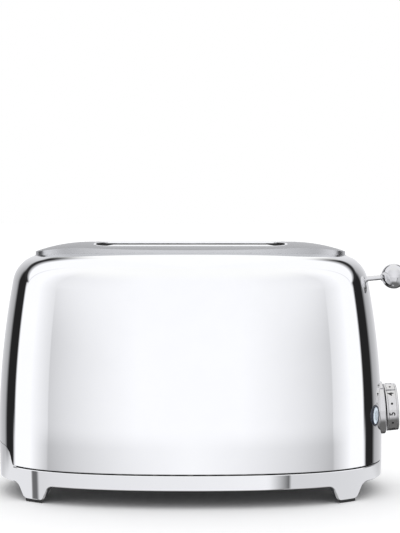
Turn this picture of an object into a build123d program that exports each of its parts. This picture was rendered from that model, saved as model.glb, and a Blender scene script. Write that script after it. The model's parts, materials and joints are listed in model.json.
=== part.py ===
from build123d import *
import os
from math import cos, radians, sin, sqrt, tan

os.makedirs("parts", exist_ok=True)

# A two-slot pop-up toaster in chrome. Millimetres; Z is up from the floor, X runs along the toaster
# towards the lever and the dial, and -Y is the front. The origin is under the middle of the outer box.

# ---------------------------------------------------------------- driving dimensions
BODY_X = -9.8            # middle of the body: the lever sticks out on +X, and the outer box stays centred
HALF_LENGTH = 152.5
HALF_DEPTH = 97.5
END_HANDLE = 0.50        # curve handles of the plan outline, as a share of its half depth and half length
FRONT_HANDLE = 0.83

PAD_T = 2.0              # rubber under the legs
BAND_BOTTOM = 13.4       # underside of the chrome base band
BAND_TOP = 25.2
BAND_WALL = 2.5
SHELL_BOTTOM = 26.0
SHELL_WALL = 1.2
SHELL_TOP = 192.0        # where the shell's curve would close, inside the plate's opening
STRAIGHT_TOP = 45.0      # the body's sides stand upright below this height

PLATE_APEX = 196.7
PLATE_HALF_LENGTH = 123.2
PLATE_HALF_WIDTH = 52.0
PLATE_FLAT = 80.0        # half length of the plate's straight middle
PLATE_END_R = 130.0      # fall of the plate towards its tips
PLATE_CROSS_R = 340.0    # crown of the plate across its width
PLATE_T = 1.2
PLATE_SKIRT = 6.0
PLATE_GAP = 0.4

SLOT_Y = 19.5
SLOT_WIDTH = 28.0
SLOT_LENGTH = 150.0
SLOT_CORNER = 11.0
LIP_WALL = 0.8
LIP_RISE = 1.2
LIP_ROLL = 1.6
LIP_SEAT = 0.02
LIP_FIT = 0.2            # play of a lip's throat in the plate
THROAT_BOTTOM = 182.0

COVER_BOTTOM = 14.0      # black underside of the base
COVER_T = 2.0
COVER_TOP = COVER_BOTTOM + COVER_T
CHASSIS_X = 85.0         # inner faces of the two chassis plates
CHASSIS_T = 1.0
CHASSIS_TOP = 184.0

TRAVEL = 60.0            # of the bread carriers
ROD_R = 2.5
ROD_X = 100.0
ROD_Y = 14.0
RUN_FIT = 0.06           # radial clearance of a running fit
STEM_R = 2.0
STEM_TILT = 5.5
BALL_R = 10.0
BALL_X = 162.1
BALL_Z = 169.4

GUARD_PIVOT_Z = 44.0
GUARD_OFFSET = 12.5      # guard plane from the middle of its slot, with the lever up
WIRE_R = 1.0
UPRIGHT_R = 0.8

DIAL_X = 148.2
DIAL_Z = 63.8
DIAL_TILT = 4.0
DIAL_HOLE_R = 12.0
BUTTON_R = 6.6
BUTTON_STROKE = 1.5

TRAY_FLOOR = 21.0
TRAY_HALF_WIDTH = 43.0
EAR_FOOT = 52.0          # half width of the tray's front at the base's seam
EAR_SHOULDER = (46.0, 39.0)
EAR_ARCH = 41.0
EAR_FILLET = 7.0

OVERSHOOT = 5.0          # cutting tools run this far past the faces that they cut
CUT_LOW = SHELL_TOP - 22.0
CUT_HEIGHT = 40.0        # height of the upright tools that cut the plate and its opening


class Profile:
    """One side of the body seen edge on: an upright foot, a long lean, a shoulder and a crown."""

    def __init__(self, half, lean, shoulder, turn, crown):
        lean_sin, lean_cos = sin(radians(lean)), cos(radians(lean))
        turn_sin, turn_cos = sin(radians(turn)), cos(radians(turn))
        rise = SHELL_TOP - STRAIGHT_TOP - shoulder * (turn_sin - lean_sin) - crown * (1 - turn_sin)
        side = rise / lean_sin
        self.half = half
        self.radii = (side, shoulder, crown)
        first = (half - side, STRAIGHT_TOP)
        second = (first[0] + (side - shoulder) * lean_cos, first[1] + (side - shoulder) * lean_sin)
        third = (second[0] + (shoulder - crown) * turn_cos, second[1] + (shoulder - crown) * turn_sin)
        self.centres = (first, second, third)
        self.ends = (lean_sin, turn_sin, 1)

    def width(self, height, wall=0):
        """Half width at a height, measured to a face that lies wall inside the outer one."""
        if height <= STRAIGHT_TOP:
            return self.half - wall
        for (centre_x, centre_z), radius, end in zip(self.centres, self.radii, self.ends):
            if height <= centre_z + (radius - wall) * end + 1e-6:
                return centre_x + sqrt(max((radius - wall) ** 2 - (height - centre_z) ** 2, 0))
        return self.centres[-1][0]


END = Profile(half=HALF_LENGTH, lean=10.8, shoulder=24, turn=64, crown=75)
SIDE = Profile(half=HALF_DEPTH, lean=14.0, shoulder=34, turn=65, crown=60)


def level(height, x=0, y=0):
    """Horizontal plane at a height, with its origin over a point of the body."""
    return Plane((BODY_X + x, y, height), x_dir=(1, 0, 0), z_dir=(0, 0, 1))


def across(x):
    """Upright plane facing +X: sketch x is Y and sketch y is height."""
    return Plane((BODY_X + x, 0, 0), x_dir=(0, 1, 0), z_dir=(1, 0, 0))


def along(y):
    """Upright plane facing -Y: sketch x is X and sketch y is height."""
    return Plane((BODY_X, y, 0), x_dir=(1, 0, 0), z_dir=(0, -1, 0))


def outline(half_x, half_y, height):
    """Plan outline of the toaster: four curves, fuller than an ellipse."""
    corners = [(half_x, 0), (0, half_y), (-half_x, 0), (0, -half_y)]
    with BuildSketch(level(height)) as shape:
        with BuildLine():
            for (x0, y0), (x1, y1) in zip(corners, corners[1:] + corners[:1]):
                if x1 == 0:
                    Bezier((x0, y0), (x0, END_HANDLE * y1), (FRONT_HANDLE * x0, y1), (x1, y1))
                else:
                    Bezier((x0, y0), (FRONT_HANDLE * x1, y0), (x1, END_HANDLE * y0), (x1, y1))
        make_face()
    return shape.sketch


SECTION_COUNT = 14


def body_sections(bottom, wall):
    """Sections of the body's form from a height up to its closure, closer together towards the top."""
    top = SHELL_TOP - wall
    sections = []
    for step in range(SECTION_COUNT, -1, -1):
        height = top - (top - bottom) * (step / SECTION_COUNT) ** 2
        sections.append(outline(END.width(height, wall), SIDE.width(height, wall), height))
    return sections


def slot_outline(y, grow, height):
    """Bread slot seen from above, grown on all sides."""
    with BuildSketch(level(height, 0, y)) as shape:
        RectangleRounded(SLOT_LENGTH + 2 * grow, SLOT_WIDTH + 2 * grow, SLOT_CORNER + grow)
    return shape.sketch


CROWN_REACH = 60.0       # half width of the crown's tool, wider than the plate
CROWN_FLOOR = 170.0
CROWN_TURN = 30.0        # how far the plate's ends are turned down about their own axis


def crown_section(x, rise):
    """Cross section of the crown's tool at x: level below, arched above."""
    cross_r = PLATE_CROSS_R + rise
    apex = PLATE_APEX + rise
    edge = apex - cross_r + sqrt(cross_r ** 2 - CROWN_REACH ** 2)
    with BuildSketch(across(x)) as section:
        with BuildLine():
            ThreePointArc((-CROWN_REACH, edge), (0, apex), (CROWN_REACH, edge))
            Line((CROWN_REACH, edge), (CROWN_REACH, CROWN_FLOOR))
            Line((CROWN_REACH, CROWN_FLOOR), (-CROWN_REACH, CROWN_FLOOR))
            Line((-CROWN_REACH, CROWN_FLOOR), (-CROWN_REACH, edge))
        make_face()
    return section.sketch


def crown(rise):
    """Solid under the top plate's crowned surface, raised by rise; reaches well below the plate."""
    with BuildPart() as block:
        extrude(crown_section(-PLATE_FLAT, rise), amount=2 * PLATE_FLAT)
        for side in (-1, 1):
            hinge_line = Axis((BODY_X + side * PLATE_FLAT, 0, PLATE_APEX - PLATE_END_R), (0, side, 0))
            revolve(crown_section(side * PLATE_FLAT, rise), axis=hinge_line, revolution_arc=CROWN_TURN)
    return block.part


def prism(sketch, height):
    """Upright block on a sketch."""
    with BuildPart() as block:
        extrude(sketch, amount=height)
    return block.part


def ear_profile(grow):
    """The crumb tray's front seen along X: an arched panel that flares out to the base's seam."""
    foot, arch = EAR_FOOT + grow, EAR_ARCH + grow
    shoulder, crest = (edge + grow for edge in EAR_SHOULDER)
    low = BAND_BOTTOM - OVERSHOOT
    with BuildSketch(across(-HALF_LENGTH - OVERSHOOT)) as shape:
        with BuildLine():
            Polyline((-shoulder, crest), (-foot, BAND_TOP), (-foot, low))
            Line((-foot, low), (foot, low))
            Polyline((foot, low), (foot, BAND_TOP), (shoulder, crest))
            ThreePointArc((shoulder, crest), (0, arch), (-shoulder, crest))
        make_face()
        fillet(shape.vertices().group_by(Axis.Z)[-1], radius=EAR_FILLET)
    return shape.sketch


# ---------------------------------------------------------------- chrome body shell
LEVER_SLOT_BOTTOM = 103.0
LEVER_SLOT_TOP = 172.5
LEVER_SLOT_WIDTH = 7.0
dial_plane = Plane(
    (BODY_X + DIAL_X, 0, DIAL_Z),
    x_dir=(0, 1, 0),
    z_dir=(cos(radians(DIAL_TILT)), 0, sin(radians(DIAL_TILT))),
)
BUTTON_RING_R = 8.3
BUTTON_Z = 63.0
FRONT_BUTTON = (144.3, 40.0)
BUTTON_TURN = 22.0       # the curved end's normal at the front and rear buttons, from the X axis


def button_plane(side):
    """Plane of a button on the curved end: side -1 in front of the dial, 1 behind it."""
    turn = radians(BUTTON_TURN)
    return Plane(
        (BODY_X + FRONT_BUTTON[0], side * FRONT_BUTTON[1], BUTTON_Z),
        x_dir=(-side * sin(turn), cos(turn), 0),
        z_dir=(cos(turn), side * sin(turn), 0),
    )


BUTTONS = {"front": -1, "rear": 1}
RING_RECESS = 0.2        # gap between a button's ring and the shell


def body_form(bottom, wall):
    """Solid form of the body from a height up: an upright foot and the curved part above it."""
    with BuildPart() as form:
        extrude(outline(HALF_LENGTH - wall, HALF_DEPTH - wall, bottom), amount=STRAIGHT_TOP - bottom)
        loft(body_sections(STRAIGHT_TOP, wall))
    return form.part


with BuildPart() as body_shell:
    add(body_form(SHELL_BOTTOM, 0))
    add(body_form(SHELL_BOTTOM - 1, SHELL_WALL), mode=Mode.SUBTRACT)
    extrude(
        outline(PLATE_HALF_LENGTH + PLATE_GAP, PLATE_HALF_WIDTH + PLATE_GAP, CUT_LOW),
        amount=CUT_HEIGHT,
        mode=Mode.SUBTRACT,
    )
    # arch over the crumb tray's front
    extrude(ear_profile(PLATE_GAP), amount=HALF_LENGTH / 2, mode=Mode.SUBTRACT)
    # slot for the lever, and the holes of the dial and the buttons
    with BuildSketch(across(HALF_LENGTH / 2)):
        with Locations((0, (LEVER_SLOT_TOP + LEVER_SLOT_BOTTOM) / 2)):
            SlotOverall(LEVER_SLOT_TOP - LEVER_SLOT_BOTTOM, LEVER_SLOT_WIDTH, rotation=90)
    extrude(amount=HALF_LENGTH, mode=Mode.SUBTRACT)
    with BuildSketch(dial_plane):
        Circle(DIAL_HOLE_R)
    extrude(amount=2 * OVERSHOOT, both=True, mode=Mode.SUBTRACT)
    for button_side in BUTTONS.values():
        with BuildSketch(button_plane(button_side)):
            Circle(BUTTON_RING_R + RING_RECESS)
        extrude(amount=2 * OVERSHOOT, both=True, mode=Mode.SUBTRACT)
body_shell.part.label = "body_shell"
export_step(body_shell.part, "parts/body_shell.step")

# ---------------------------------------------------------------- top plate and slot lips
plate_hollow = crown(-PLATE_T) & prism(
    outline(PLATE_HALF_LENGTH - PLATE_T, PLATE_HALF_WIDTH - PLATE_T, CUT_LOW), CUT_HEIGHT
)
with BuildPart() as top_plate:
    extrude(outline(PLATE_HALF_LENGTH, PLATE_HALF_WIDTH, CUT_LOW), amount=CUT_HEIGHT)
    add(crown(0), mode=Mode.INTERSECT)
    add(crown(-PLATE_SKIRT), mode=Mode.SUBTRACT)
    add(plate_hollow, mode=Mode.SUBTRACT)
    for slot_side in (-1, 1):
        extrude(slot_outline(slot_side * SLOT_Y, LIP_FIT, CUT_LOW), amount=CUT_HEIGHT, mode=Mode.SUBTRACT)
top_plate.part.label = "top_plate"
export_step(top_plate.part, "parts/top_plate.step")

for slot_name, slot_side in (("front", -1), ("rear", 1)):
    throat = prism(slot_outline(slot_side * SLOT_Y, 0, THROAT_BOTTOM), CUT_HEIGHT) & crown(LIP_RISE)
    with BuildPart() as slot_lip:
        # rolled edge that lies on the plate
        extrude(slot_outline(slot_side * SLOT_Y, LIP_ROLL, THROAT_BOTTOM), amount=CUT_HEIGHT)
        add(crown(LIP_RISE), mode=Mode.INTERSECT)
        add(crown(LIP_SEAT), mode=Mode.SUBTRACT)
        # throat through the plate
        add(throat)
        extrude(slot_outline(slot_side * SLOT_Y, -LIP_WALL, CUT_LOW), amount=CUT_HEIGHT, mode=Mode.SUBTRACT)
    slot_lip.part.label = f"slot_lip_{slot_name}"
    export_step(slot_lip.part, f"parts/slot_lip_{slot_name}.step")

# ---------------------------------------------------------------- base band with its four legs
LEG_X = 121.5
LEG_TOP_HALF = 13.5
LEG_FOOT_HALF = 6.5
LEG_FILLET = 3.5
GLAND_X = 66.0
GLAND_Z = 19.3
GLAND_R = 5.2
GLAND_FRONT = 94.4
CORD_R = 3.6


def leg_profile(centre_x):
    """One leg seen from the front: it narrows from the band to a rounded foot."""
    with BuildSketch(along(0)) as shape:
        with BuildLine():
            Polyline(
                (centre_x - LEG_TOP_HALF, BAND_TOP),
                (centre_x - LEG_TOP_HALF, BAND_BOTTOM),
                (centre_x - LEG_FOOT_HALF, PAD_T),
                (centre_x + LEG_FOOT_HALF, PAD_T),
                (centre_x + LEG_TOP_HALF, BAND_BOTTOM),
                (centre_x + LEG_TOP_HALF, BAND_TOP),
                close=True,
            )
        make_face()
        fillet(shape.vertices().group_by(Axis.Z)[0], radius=LEG_FILLET)
    return shape.sketch


with BuildPart() as ring:
    extrude(outline(HALF_LENGTH, HALF_DEPTH, PAD_T), amount=BAND_TOP - PAD_T)
    inner_outline = outline(HALF_LENGTH - BAND_WALL, HALF_DEPTH - BAND_WALL, PAD_T)
    extrude(inner_outline, amount=BAND_TOP - PAD_T, mode=Mode.SUBTRACT)
with BuildPart() as base_band:
    with BuildSketch(along(0)):
        with Locations((0, (BAND_BOTTOM + BAND_TOP) / 2)):
            Rectangle(2 * (HALF_LENGTH + OVERSHOOT), BAND_TOP - BAND_BOTTOM)
    extrude(amount=HALF_DEPTH + OVERSHOOT, both=True)
    for leg_side in (-1, 1):
        extrude(leg_profile(leg_side * LEG_X), amount=HALF_DEPTH + OVERSHOOT, both=True)
    add(ring.part, mode=Mode.INTERSECT)
    # the crumb tray's front stands in this gap
    with BuildSketch(across(-HALF_LENGTH - OVERSHOOT)):
        with Locations((0, (BAND_BOTTOM + BAND_TOP) / 2)):
            Rectangle(2 * (EAR_FOOT + PLATE_GAP), BAND_TOP - BAND_BOTTOM + OVERSHOOT)
    extrude(amount=HALF_LENGTH / 4, mode=Mode.SUBTRACT)
    with BuildSketch(along(HALF_DEPTH + OVERSHOOT)):
        with Locations((GLAND_X, GLAND_Z)):
            Circle(GLAND_R)
    extrude(amount=HALF_DEPTH / 3, mode=Mode.SUBTRACT)
base_band.part.label = "base_band"
export_step(base_band.part, "parts/base_band.step")

# ---------------------------------------------------------------- black underside with foot blocks
BLOCK_DEPTH = 20.0
BLOCK_INNER_Y = 36.0     # the blocks come no nearer than this to the middle of an end
BLOCK_SHIFT = 2.5        # the blocks stand this much nearer the middle than the legs
PAD_INSET = 0.8
PAD_HALF = 8.4
COVER_INSET = BAND_WALL + 0.2
SLIT_PITCH, SLIT_Y, SLIT_COUNT = 14.0, 58.0, 9
SLIT_LENGTH, SLIT_WIDTH = 24.0, 4.0
COVER_SCREWS = [(-60.0, -78.0), (60.0, -78.0), (-60.0, 78.0), (52.0, 78.0)]
SCREW_R = 1.5
SCREW_PLAY = 0.1
GLAND_CLEARANCE = 14.0


def foot_ring(side_y, inset, bottom, height):
    """Front or rear part of a ring that follows the toaster's outline, clear of the middle of its ends."""
    with BuildPart() as half_ring:
        extrude(outline(HALF_LENGTH - inset, HALF_DEPTH - inset, bottom), amount=height)
        inner_end = outline(HALF_LENGTH - BLOCK_DEPTH, HALF_DEPTH - BLOCK_DEPTH, bottom)
        extrude(inner_end, amount=height, mode=Mode.SUBTRACT)
        with BuildSketch(level(bottom, 0, side_y * (HALF_DEPTH + BLOCK_INNER_Y) / 2)):
            Rectangle(2 * HALF_LENGTH, HALF_DEPTH - BLOCK_INNER_Y)
        extrude(amount=height, mode=Mode.INTERSECT)
    return half_ring.part


def foot_block(side_x, side_y):
    """Black block behind a leg, with the leg's own profile."""
    with BuildPart() as block:
        extrude(leg_profile(side_x * (LEG_X - BLOCK_SHIFT)), amount=HALF_DEPTH, both=True)
        add(foot_ring(side_y, COVER_INSET, PAD_T, COVER_BOTTOM + COVER_T / 2 - PAD_T), mode=Mode.INTERSECT)
    return block.part


with BuildPart() as bottom_cover:
    extrude(outline(HALF_LENGTH - COVER_INSET, HALF_DEPTH - COVER_INSET, COVER_BOTTOM), amount=COVER_T)
    for side_x in (-1, 1):
        for side_y in (-1, 1):
            add(foot_block(side_x, side_y))
    # air slits under the heaters
    with BuildSketch(level(COVER_BOTTOM - OVERSHOOT)):
        with GridLocations(SLIT_PITCH, 2 * SLIT_Y, SLIT_COUNT, 2):
            SlotOverall(SLIT_LENGTH, SLIT_WIDTH, rotation=90)
    extrude(amount=COVER_T + 2 * OVERSHOOT, mode=Mode.SUBTRACT)
    # clearance round the cord gland
    with BuildSketch(along(GLAND_FRONT)):
        with Locations((GLAND_X, GLAND_Z)):
            Circle(GLAND_R)
    extrude(amount=GLAND_CLEARANCE, mode=Mode.SUBTRACT)
    with Locations([(BODY_X + x, y, COVER_TOP) for x, y in COVER_SCREWS]):
        Hole(SCREW_R + SCREW_PLAY, depth=COVER_T + 1)
bottom_cover.part.label = "bottom_cover"
export_step(bottom_cover.part, "parts/bottom_cover.step")

PAD_NAMES = {(-1, -1): "front_left", (1, -1): "front_right", (-1, 1): "rear_left", (1, 1): "rear_right"}
for (side_x, side_y), pad_name in PAD_NAMES.items():
    with BuildPart() as foot_pad:
        add(foot_ring(side_y, PAD_INSET, 0, PAD_T))
        with BuildSketch(level(0, side_x * (LEG_X - BLOCK_SHIFT / 2), side_y * HALF_DEPTH / 2)):
            Rectangle(2 * PAD_HALF, HALF_DEPTH)
        extrude(amount=PAD_T, mode=Mode.INTERSECT)
    foot_pad.part.label = f"foot_pad_{pad_name}"
    export_step(foot_pad.part, f"parts/foot_pad_{pad_name}.step")

# ---------------------------------------------------------------- crumb tray and its front
TRAY_END = 80.0
TRAY_FRONT_T = 2.2
TRAY_T = 0.8
TRAY_DEPTH = 9.0

with BuildPart() as tray_front:
    extrude(outline(HALF_LENGTH, HALF_DEPTH, BAND_BOTTOM), amount=EAR_ARCH)
    extrude(
        outline(HALF_LENGTH - TRAY_FRONT_T, HALF_DEPTH - TRAY_FRONT_T, BAND_BOTTOM),
        amount=EAR_ARCH,
        mode=Mode.SUBTRACT,
    )
    add(extrude(ear_profile(0), amount=EAR_FOOT, mode=Mode.PRIVATE), mode=Mode.INTERSECT)
tray_front.part.label = "tray_front"
export_step(tray_front.part, "parts/tray_front.step")

with BuildPart() as crumb_tray:
    tray_start = -HALF_LENGTH + TRAY_FRONT_T
    tray_mid = (tray_start + TRAY_END) / 2
    tray_length = TRAY_END - tray_start
    with BuildSketch(level(TRAY_FLOOR, tray_mid, 0)):
        Rectangle(tray_length, 2 * TRAY_HALF_WIDTH)
    extrude(amount=TRAY_DEPTH)
    with BuildSketch(level(TRAY_FLOOR + TRAY_T, tray_mid, 0)):
        Rectangle(tray_length - 2 * TRAY_T, 2 * (TRAY_HALF_WIDTH - TRAY_T))
    extrude(amount=TRAY_DEPTH, mode=Mode.SUBTRACT)
    # the pan's front edge follows the curved front
    inside_front = outline(HALF_LENGTH - TRAY_FRONT_T, HALF_DEPTH - TRAY_FRONT_T, TRAY_FLOOR)
    tray_area = prism(inside_front, TRAY_DEPTH)
    add(tray_area, mode=Mode.INTERSECT)
crumb_tray.part.label = "crumb_tray"
export_step(crumb_tray.part, "parts/crumb_tray.step")

RUNNER_LENGTH = 180.0
RUNNER_X = -30.0
RUNNER_SHELF = 5.0
RUNNER_FENCE = 2.4       # thickness of the upright fence beside the tray
RUNNER_GAP = 0.3
with BuildPart() as tray_runners:
    for side_y in (-1, 1):
        with BuildSketch(level(COVER_TOP, RUNNER_X, side_y * (TRAY_HALF_WIDTH + 0.5))):
            Rectangle(RUNNER_LENGTH, RUNNER_SHELF)
        extrude(amount=TRAY_FLOOR - RUNNER_GAP - COVER_TOP)
        with BuildSketch(level(COVER_TOP, RUNNER_X, side_y * (TRAY_HALF_WIDTH + 0.6 + RUNNER_FENCE / 2))):
            Rectangle(RUNNER_LENGTH, RUNNER_FENCE)
        extrude(amount=TRAY_FLOOR + RUNNER_SHELF - COVER_TOP)
tray_runners.part.label = "tray_runners"
export_step(tray_runners.part, "parts/tray_runners.step")

# ---------------------------------------------------------------- chassis plates
CARRIER_SLOT_WIDTH = 4.0
CARRIER_Z = 112.0        # carrier strip at rest, lever up
PIVOT_Y = [side * SLOT_Y + offset for side in (-1, 1) for offset in (-GUARD_OFFSET, GUARD_OFFSET)]
PIVOT_R = 1.2
TAB_HALF = 8.0
TAB_TOP = PLATE_APEX - PLATE_T - 0.35
NOTCH_HALF, NOTCH_TOP = 48.0, 36.0
PLATE_SIDE, PLATE_SHOULDER = 60.0, 150.0
CARRIER_PLAY = (6.0, 12.0)   # of a carrier in its slot, below the lowest place and above the highest


def chassis_outline(plane_x):
    """Sheet outline of a chassis plate, with a notch for the crumb tray and a tab up to the top plate."""
    with BuildSketch(across(plane_x)) as shape:
        with BuildLine():
            half = [
                (0, NOTCH_TOP), (NOTCH_HALF, NOTCH_TOP), (NOTCH_HALF, COVER_TOP), (PLATE_SIDE, COVER_TOP),
                (PLATE_SIDE, PLATE_SHOULDER), (NOTCH_HALF, CHASSIS_TOP), (TAB_HALF, CHASSIS_TOP),
                (TAB_HALF, TAB_TOP), (0, TAB_TOP),
            ]
            Polyline(half + [(-y, z) for y, z in reversed(half[1:-1])], close=True)
        make_face()
        with Locations([(y, GUARD_PIVOT_Z) for y in PIVOT_Y]):
            Circle(PIVOT_R + RUN_FIT, mode=Mode.SUBTRACT)
        slot_low = CARRIER_Z - TRAVEL - CARRIER_PLAY[0]
        slot_high = CARRIER_Z + CARRIER_PLAY[1]
        with Locations([(side * SLOT_Y, (slot_low + slot_high) / 2) for side in (-1, 1)]):
            Rectangle(CARRIER_SLOT_WIDTH, slot_high - slot_low, mode=Mode.SUBTRACT)
    return shape.sketch


for chassis_name, chassis_x in (("left", -CHASSIS_X - CHASSIS_T), ("right", CHASSIS_X)):
    with BuildPart() as chassis_plate:
        extrude(chassis_outline(chassis_x), amount=CHASSIS_T)
    chassis_plate.part.label = f"chassis_plate_{chassis_name}"
    export_step(chassis_plate.part, f"parts/chassis_plate_{chassis_name}.step")

# ---------------------------------------------------------------- heaters and reflectors
BOARD_T = 0.6
BOARD_LOW, BOARD_HIGH = 52.0, 172.0
BOARD_Y = {"front_outer": -38.0, "front_inner": -3.0, "rear_inner": 3.0, "rear_outer": 38.0}
RIBBON_T = 0.3
RIBBON_WIDTH = 1.6
RIBBON_COUNT = 9
RIBBON_END = 10.0        # bare board left at each end
for board_name, board_y in BOARD_Y.items():
    slot_middle = -SLOT_Y if "front" in board_name else SLOT_Y
    facing = 1 if slot_middle > board_y else -1
    with BuildPart() as heater_board:
        with BuildSketch(along(board_y + BOARD_T / 2)):
            with Locations((0, (BOARD_LOW + BOARD_HIGH) / 2)):
                Rectangle(2 * CHASSIS_X, BOARD_HIGH - BOARD_LOW)
        extrude(amount=BOARD_T)
    heater_board.part.label = f"heater_board_{board_name}"
    export_step(heater_board.part, f"parts/heater_board_{board_name}.step")
    with BuildPart() as heater_ribbons:
        ribbon_y = board_y + facing * (BOARD_T + RIBBON_T) / 2
        ribbon_pitch = (BOARD_HIGH - BOARD_LOW) / (RIBBON_COUNT + 1)
        for turn in range(RIBBON_COUNT):
            ribbon_z = BOARD_LOW + (turn + 1) * ribbon_pitch
            with Locations((BODY_X, ribbon_y, ribbon_z)):
                Box(2 * (CHASSIS_X - RIBBON_END), RIBBON_T, RIBBON_WIDTH)
    heater_ribbons.part.label = f"heater_ribbons_{board_name}"
    export_step(heater_ribbons.part, f"parts/heater_ribbons_{board_name}.step")

REFLECTOR_Y = 45.0
REFLECTOR_Z = 110.0
REFLECTOR_HEIGHT, REFLECTOR_FLANGE = 104.0, 90.0
REFLECTOR_T = 0.6
REFLECTOR_RETURN = 4.0
for reflector_name, reflector_y in (("front", -REFLECTOR_Y), ("rear", REFLECTOR_Y)):
    with BuildPart() as reflector:
        with BuildSketch(along(reflector_y + REFLECTOR_T / 2)):
            with Locations((0, REFLECTOR_Z)):
                Rectangle(2 * CHASSIS_X, REFLECTOR_HEIGHT)
        extrude(amount=REFLECTOR_T)
        # bent ends, fixed to the chassis plates
        with BuildSketch(along(reflector_y + REFLECTOR_T / 2)):
            with Locations([(side * (CHASSIS_X - REFLECTOR_T / 2), REFLECTOR_Z) for side in (-1, 1)]):
                Rectangle(REFLECTOR_T, REFLECTOR_FLANGE)
        extrude(amount=-REFLECTOR_RETURN if reflector_y > 0 else REFLECTOR_RETURN + REFLECTOR_T)
    reflector.part.label = f"reflector_{reflector_name}"
    export_step(reflector.part, f"parts/reflector_{reflector_name}.step")

# ---------------------------------------------------------------- lift: rods, brackets, spring, magnet
BRACKET_LOW = 40.0
BRACKET_HIGH = 177.0
BRACKET_T = 1.5
BRACKET_END = 110.0
BRACKET_WIDTH, BRACKET_FLANGE = 44.0, 7.0
ROD_END = 2.0            # of a rod below the lower bracket, and above the upper one
with BuildPart() as rod_brackets:
    for bracket_z in (BRACKET_LOW, BRACKET_HIGH):
        with BuildSketch(level(bracket_z, (CHASSIS_X + CHASSIS_T + BRACKET_END) / 2, 0)):
            Rectangle(BRACKET_END - CHASSIS_X - CHASSIS_T, BRACKET_WIDTH)
        extrude(amount=BRACKET_T)
        with BuildSketch(level(bracket_z - BRACKET_FLANGE, CHASSIS_X + CHASSIS_T + BRACKET_T / 2, 0)):
            Rectangle(BRACKET_T, BRACKET_WIDTH)
        extrude(amount=BRACKET_FLANGE)
    with Locations([(BODY_X + ROD_X, side * ROD_Y, BRACKET_HIGH + BRACKET_T) for side in (-1, 1)]):
        Hole(ROD_R, depth=BRACKET_HIGH - BRACKET_LOW + 2 * BRACKET_T)
rod_brackets.part.label = "rod_brackets"
export_step(rod_brackets.part, "parts/rod_brackets.step")

with BuildPart() as guide_rods:
    for side_y in (-1, 1):
        with BuildSketch(level(BRACKET_LOW - ROD_END, ROD_X, side_y * ROD_Y)):
            Circle(ROD_R)
        extrude(amount=BRACKET_HIGH + BRACKET_T - BRACKET_LOW + 2 * ROD_END)
guide_rods.part.label = "guide_rods"
export_step(guide_rods.part, "parts/guide_rods.step")

MAGNET_X = 118.0
MAGNET_TOP = 40.0
YOKE_T = 3.0
POLE_Y, POLE_R = 11.0, 3.5
COIL_R, COIL_FIT, COIL_CLEARANCE = 8.0, 0.05, 1.0
with BuildPart() as magnet_core:
    with BuildSketch(level(COVER_TOP, MAGNET_X, 0)):
        Rectangle(14, 34)
    extrude(amount=YOKE_T)
    with BuildSketch(level(COVER_TOP + YOKE_T, MAGNET_X, 0)):
        with Locations((0, -POLE_Y), (0, POLE_Y)):
            Circle(POLE_R)
    extrude(amount=MAGNET_TOP - COVER_TOP - YOKE_T)
magnet_core.part.label = "magnet_core"
export_step(magnet_core.part, "parts/magnet_core.step")

with BuildPart() as magnet_coils:
    with BuildSketch(level(COVER_TOP + YOKE_T + COIL_CLEARANCE, MAGNET_X, 0)):
        with Locations((0, -POLE_Y), (0, POLE_Y)):
            Circle(COIL_R)
            Circle(POLE_R + COIL_FIT, mode=Mode.SUBTRACT)
    extrude(amount=MAGNET_TOP - COVER_TOP - YOKE_T - 3 * COIL_CLEARANCE)
magnet_coils.part.label = "magnet_coils"
export_step(magnet_coils.part, "parts/magnet_coils.step")

CARRIAGE_LOW, CARRIAGE_HIGH = 106.0, 150.0
SPRING_R = 3.2
SPRING_WIRE = 0.5
SPRING_TURNS = 14
SPRING_LOW = CARRIAGE_HIGH + SPRING_WIRE
SPRING_HIGH = BRACKET_HIGH - SPRING_WIRE
spring_path = Helix(
    pitch=(SPRING_HIGH - SPRING_LOW) / SPRING_TURNS,
    height=SPRING_HIGH - SPRING_LOW,
    radius=SPRING_R,
    center=(BODY_X + ROD_X, 0, SPRING_LOW),
)
with BuildPart() as lift_spring:
    with BuildSketch(Plane(origin=spring_path @ 0, z_dir=spring_path % 0)):
        Circle(SPRING_WIRE)
    sweep(path=spring_path)
lift_spring.part.label = "lift_spring"
export_step(lift_spring.part, "parts/lift_spring.step")

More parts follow.
